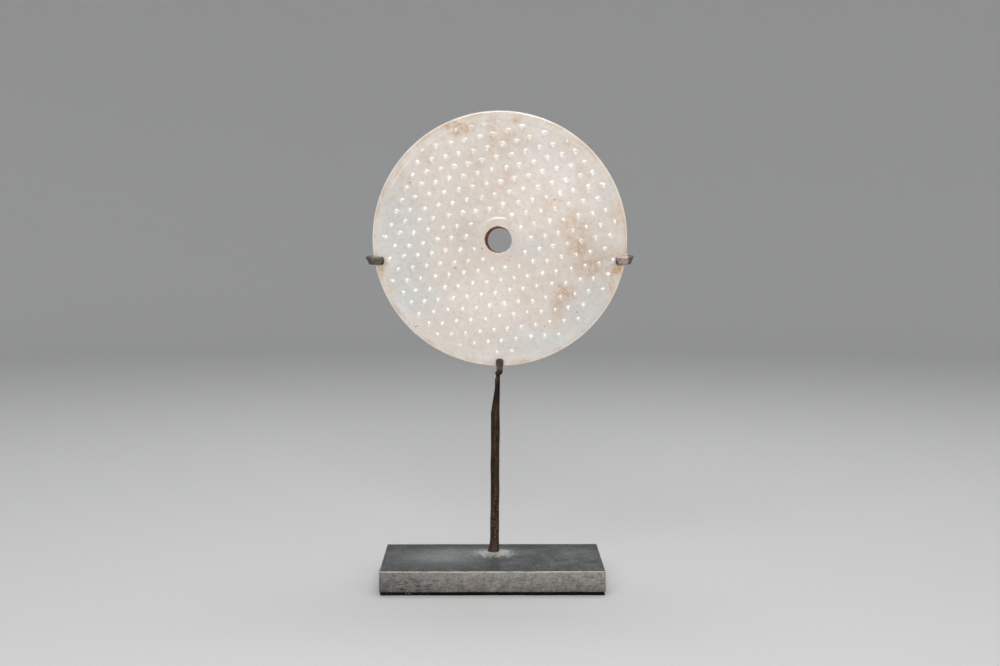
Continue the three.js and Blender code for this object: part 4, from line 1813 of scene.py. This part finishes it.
@dataclass
class Felt:
    """The felt under the block, with an uneven cut edge and loose fibres."""

    box: Box = field(default_factory=lambda: Box.of("felt_pad"))
    fibres: int = 340
    fibre_length: float = 1.1
    fibre_radius: float = 0.05
    stand_out: float = 0.42
    unevenness: float = 0.16
    spacing: float = 1.6
    seed: int = 21

    def build(self) -> bpy.types.Object:
        """Make the felt.

        Returns:
            The finished piece.
        """
        mesh = bmesh.new()
        bmesh.ops.create_cube(mesh, size=1.0)
        bmesh.ops.scale(mesh, vec=self.box.size, verts=mesh.verts)
        for axis, spacing in enumerate((self.spacing, self.spacing, self.box.size.z / 3)):
            cuts = round(self.box.size[axis] / spacing)
            long = [edge for edge in mesh.edges if abs((edge.verts[0].co - edge.verts[1].co)[axis]) > 0.8]
            bmesh.ops.subdivide_edges(mesh, edges=long, cuts=cuts, use_grid_fill=True)
        points = points_of(mesh)
        half = np.array(self.box.size) / 2
        side = np.abs(points) > half - 1e-4
        fray = np.abs(ripple(points, (13.0, 5.3, 3.3, 2.3), self.unevenness / 2, self.seed))
        points[:, :2] -= np.where(side[:, :2], np.sign(points[:, :2]) * fray[:, None], 0.0)
        move_points(mesh, points)
        self._add_fibres(mesh)
        bmesh.ops.translate(mesh, verts=mesh.verts, vec=self.box.middle)
        felt = finished(mesh, "felt", crease=60.0)
        dress(felt, FeltFinish(self.box.low).material(), "felt_pad")
        return felt

    def _add_fibres(self, mesh: bmesh.types.BMesh) -> None:
        """Add loose fibres along the sides, mostly lying along the edge."""
        chance = np.random.default_rng(self.seed)
        half = self.box.size / 2
        round_it = 4 * (half.x + half.y)
        for along in chance.uniform(0.0, round_it, self.fibres):
            place, outward = self._on_side(along, half)
            spread = Vector(chance.normal(0.0, 1.0, 3))
            heading = (outward * chance.uniform(0.1, 0.5) + spread * 0.5).normalized()
            reach = self.fibre_length * chance.uniform(0.4, 1.0)
            height = chance.uniform(-half.z + 0.15, half.z - 0.3)
            start = place + Vector((0.0, 0.0, height))
            turn = Vector((0.0, 0.0, 1.0)).rotation_difference(heading).to_matrix().to_4x4()
            made = bmesh.ops.create_cone(
                mesh, cap_ends=True, segments=3, radius1=self.fibre_radius,
                radius2=self.fibre_radius * 0.4, depth=reach, matrix=Matrix.Translation(start) @ turn,
            )
            for vertex in made["verts"]:
                vertex.co.x = min(max(vertex.co.x, -half.x - self.stand_out), half.x + self.stand_out)
                vertex.co.y = min(max(vertex.co.y, -half.y - self.stand_out), half.y + self.stand_out)
                vertex.co.z = min(max(vertex.co.z, -half.z), half.z - 0.05)

    @staticmethod
    def _on_side(along: float, half: Vector) -> tuple[Vector, Vector]:
        """A place on the felt's edge and the way out of it there.

        Args:
            along: The distance round the felt.
            half: Half the felt's size.

        Returns:
            The place and the outward direction.
        """
        width, depth = 2 * half.x, 2 * half.y
        if along < width:
            return Vector((along - half.x, -half.y, 0.0)), Vector((0.0, -1.0, 0.0))
        if along < width + depth:
            return Vector((half.x, along - width - half.y, 0.0)), Vector((1.0, 0.0, 0.0))
        if along < 2 * width + depth:
            return Vector((along - width - depth - half.x, half.y, 0.0)), Vector((0.0, 1.0, 0.0))
        return Vector((-half.x, along - 2 * width - depth - half.y, 0.0)), Vector((-1.0, 0.0, 0.0))


@dataclass(frozen=True)
class SoftLight:
    """A studio light with a soft front.

    Attributes:
        name: Its name.
        place: Where it hangs, in metres.
        target: What it points at, in metres.
        width: Its breadth, in metres.
        height: Its height, in metres.
        watts: Its power.
        colour: Its colour.
    """

    name: str
    place: tuple[float, float, float]
    target: tuple[float, float, float]
    width: float
    height: float
    watts: float
    colour: Colour = (1.0, 1.0, 1.0)

    def hang(self) -> None:
        """Add the light, unseen by the camera itself."""
        lamp = bpy.data.lights.new(self.name, "AREA")
        lamp.shape = "RECTANGLE"
        lamp.size, lamp.size_y = self.width, self.height
        lamp.energy, lamp.color = self.watts, self.colour
        light = bpy.data.objects.new(self.name, lamp)
        light.location = self.place
        heading = Vector(self.target) - Vector(self.place)
        light.rotation_euler = heading.to_track_quat("-Z", "Y").to_euler()
        light.visible_camera = False
        bpy.context.scene.collection.objects.link(light)


@dataclass
class Studio:
    """The plain room: a floor that curves up into a wall all round, soft lights and the camera."""

    floor_radius: float = 1.7
    cove: float = 0.7
    wall_top: float = 2.6
    steps: int = 96
    cove_steps: int = 12
    daylight: tuple[float, float, float, float] = (0.92, 0.95, 1.0, 1.0)
    daylight_strength: float = 0.45
    paint: Colour = (0.70, 0.695, 0.685)
    camera_place: tuple[float, float, float] = (-6.96, -946.17, 213.41)
    camera_pitch: float = -4.045
    camera_heading: float = 0.42
    focal_px: float = 1623.25
    lights: tuple[SoftLight, ...] = (
        SoftLight("key", (-0.45, -1.0, 0.95), (0.0, 0.0, 0.2), 0.8, 0.6, 4.0),
        SoftLight("fill", (0.95, -1.1, 0.68), (0.0, 0.0, 0.15), 0.9, 0.8, 2.7),
        SoftLight("front", (0.05, -0.98, 0.58), (0.0, 0.0, 0.2), 0.31, 0.26, 3.2),
        SoftLight("top", (0.1, 0.40, 1.15), (0.0, 0.0, 0.1), 1.0, 0.6, 5.0),
    )

    def build(self) -> None:
        """Set up the room, the lights and the camera."""
        self._add_camera()
        self._add_room()
        for light in self.lights:
            light.hang()
        world = bpy.data.worlds.new("soft_daylight")
        world.use_nodes = True
        background = world.node_tree.nodes["Background"]
        background.inputs["Color"].default_value = self.daylight
        background.inputs["Strength"].default_value = self.daylight_strength
        bpy.context.scene.world = world
        bpy.context.scene.view_settings.view_transform = "Standard"

    def _add_camera(self) -> None:
        """Put the camera where the disc and the stand are seen at the right angle."""
        lens = bpy.data.cameras.new("camera")
        lens.sensor_width = SENSOR_WIDTH
        lens.lens = self.focal_px * SENSOR_WIDTH / PICTURE_WIDTH_PX
        lens.clip_start, lens.clip_end = 0.02, 20.0
        camera = bpy.data.objects.new("camera", lens)
        camera.location = Vector(self.camera_place) * MM
        pitch, heading = math.radians(90.0 + self.camera_pitch), math.radians(-self.camera_heading)
        camera.rotation_euler = (pitch, 0.0, heading)
        bpy.context.scene.collection.objects.link(camera)
        bpy.context.scene.camera = camera

    def _add_room(self) -> None:
        """Turn the floor and wall's outline round the upright axis."""
        mesh = bmesh.new()
        outline = [(0.0, 0.0), (self.floor_radius, 0.0)]
        for step in range(1, self.cove_steps + 1):
            angle = math.radians(90.0 * step / self.cove_steps)
            rise = self.cove * (1.0 - math.cos(angle))
            outline.append((self.floor_radius + self.cove * math.sin(angle), rise))
        outline.append((self.floor_radius + self.cove, self.wall_top))
        points = [mesh.verts.new((x, 0.0, z)) for x, z in outline]
        edges = [mesh.edges.new(pair) for pair in zip(points, points[1:])]
        bmesh.ops.spin(
            mesh, geom=points + edges, cent=(0, 0, 0), axis=(0, 0, 1), angle=2 * math.pi,
            steps=self.steps, use_merge=True,
        )
        bmesh.ops.remove_doubles(mesh, verts=mesh.verts, dist=1e-5)
        bmesh.ops.recalc_face_normals(mesh, faces=mesh.faces)
        for face in mesh.faces:
            face.smooth = True
        data = bpy.data.meshes.new("studio_floor")
        mesh.to_mesh(data)
        mesh.free()
        floor = bpy.data.objects.new("studio_floor", data)
        data.materials.append(PaintFinish("studio_paint", self.paint, 0.75).material())
        bpy.context.scene.collection.objects.link(floor)


def main() -> None:
    logging.basicConfig(level=logging.INFO, format="%(message)s")
    Studio().build()
    JadeDisc().build()
    Holder().build()
    Rod().build()
    Block().build()
    Felt().build()


if __name__ == "__main__":
    main()
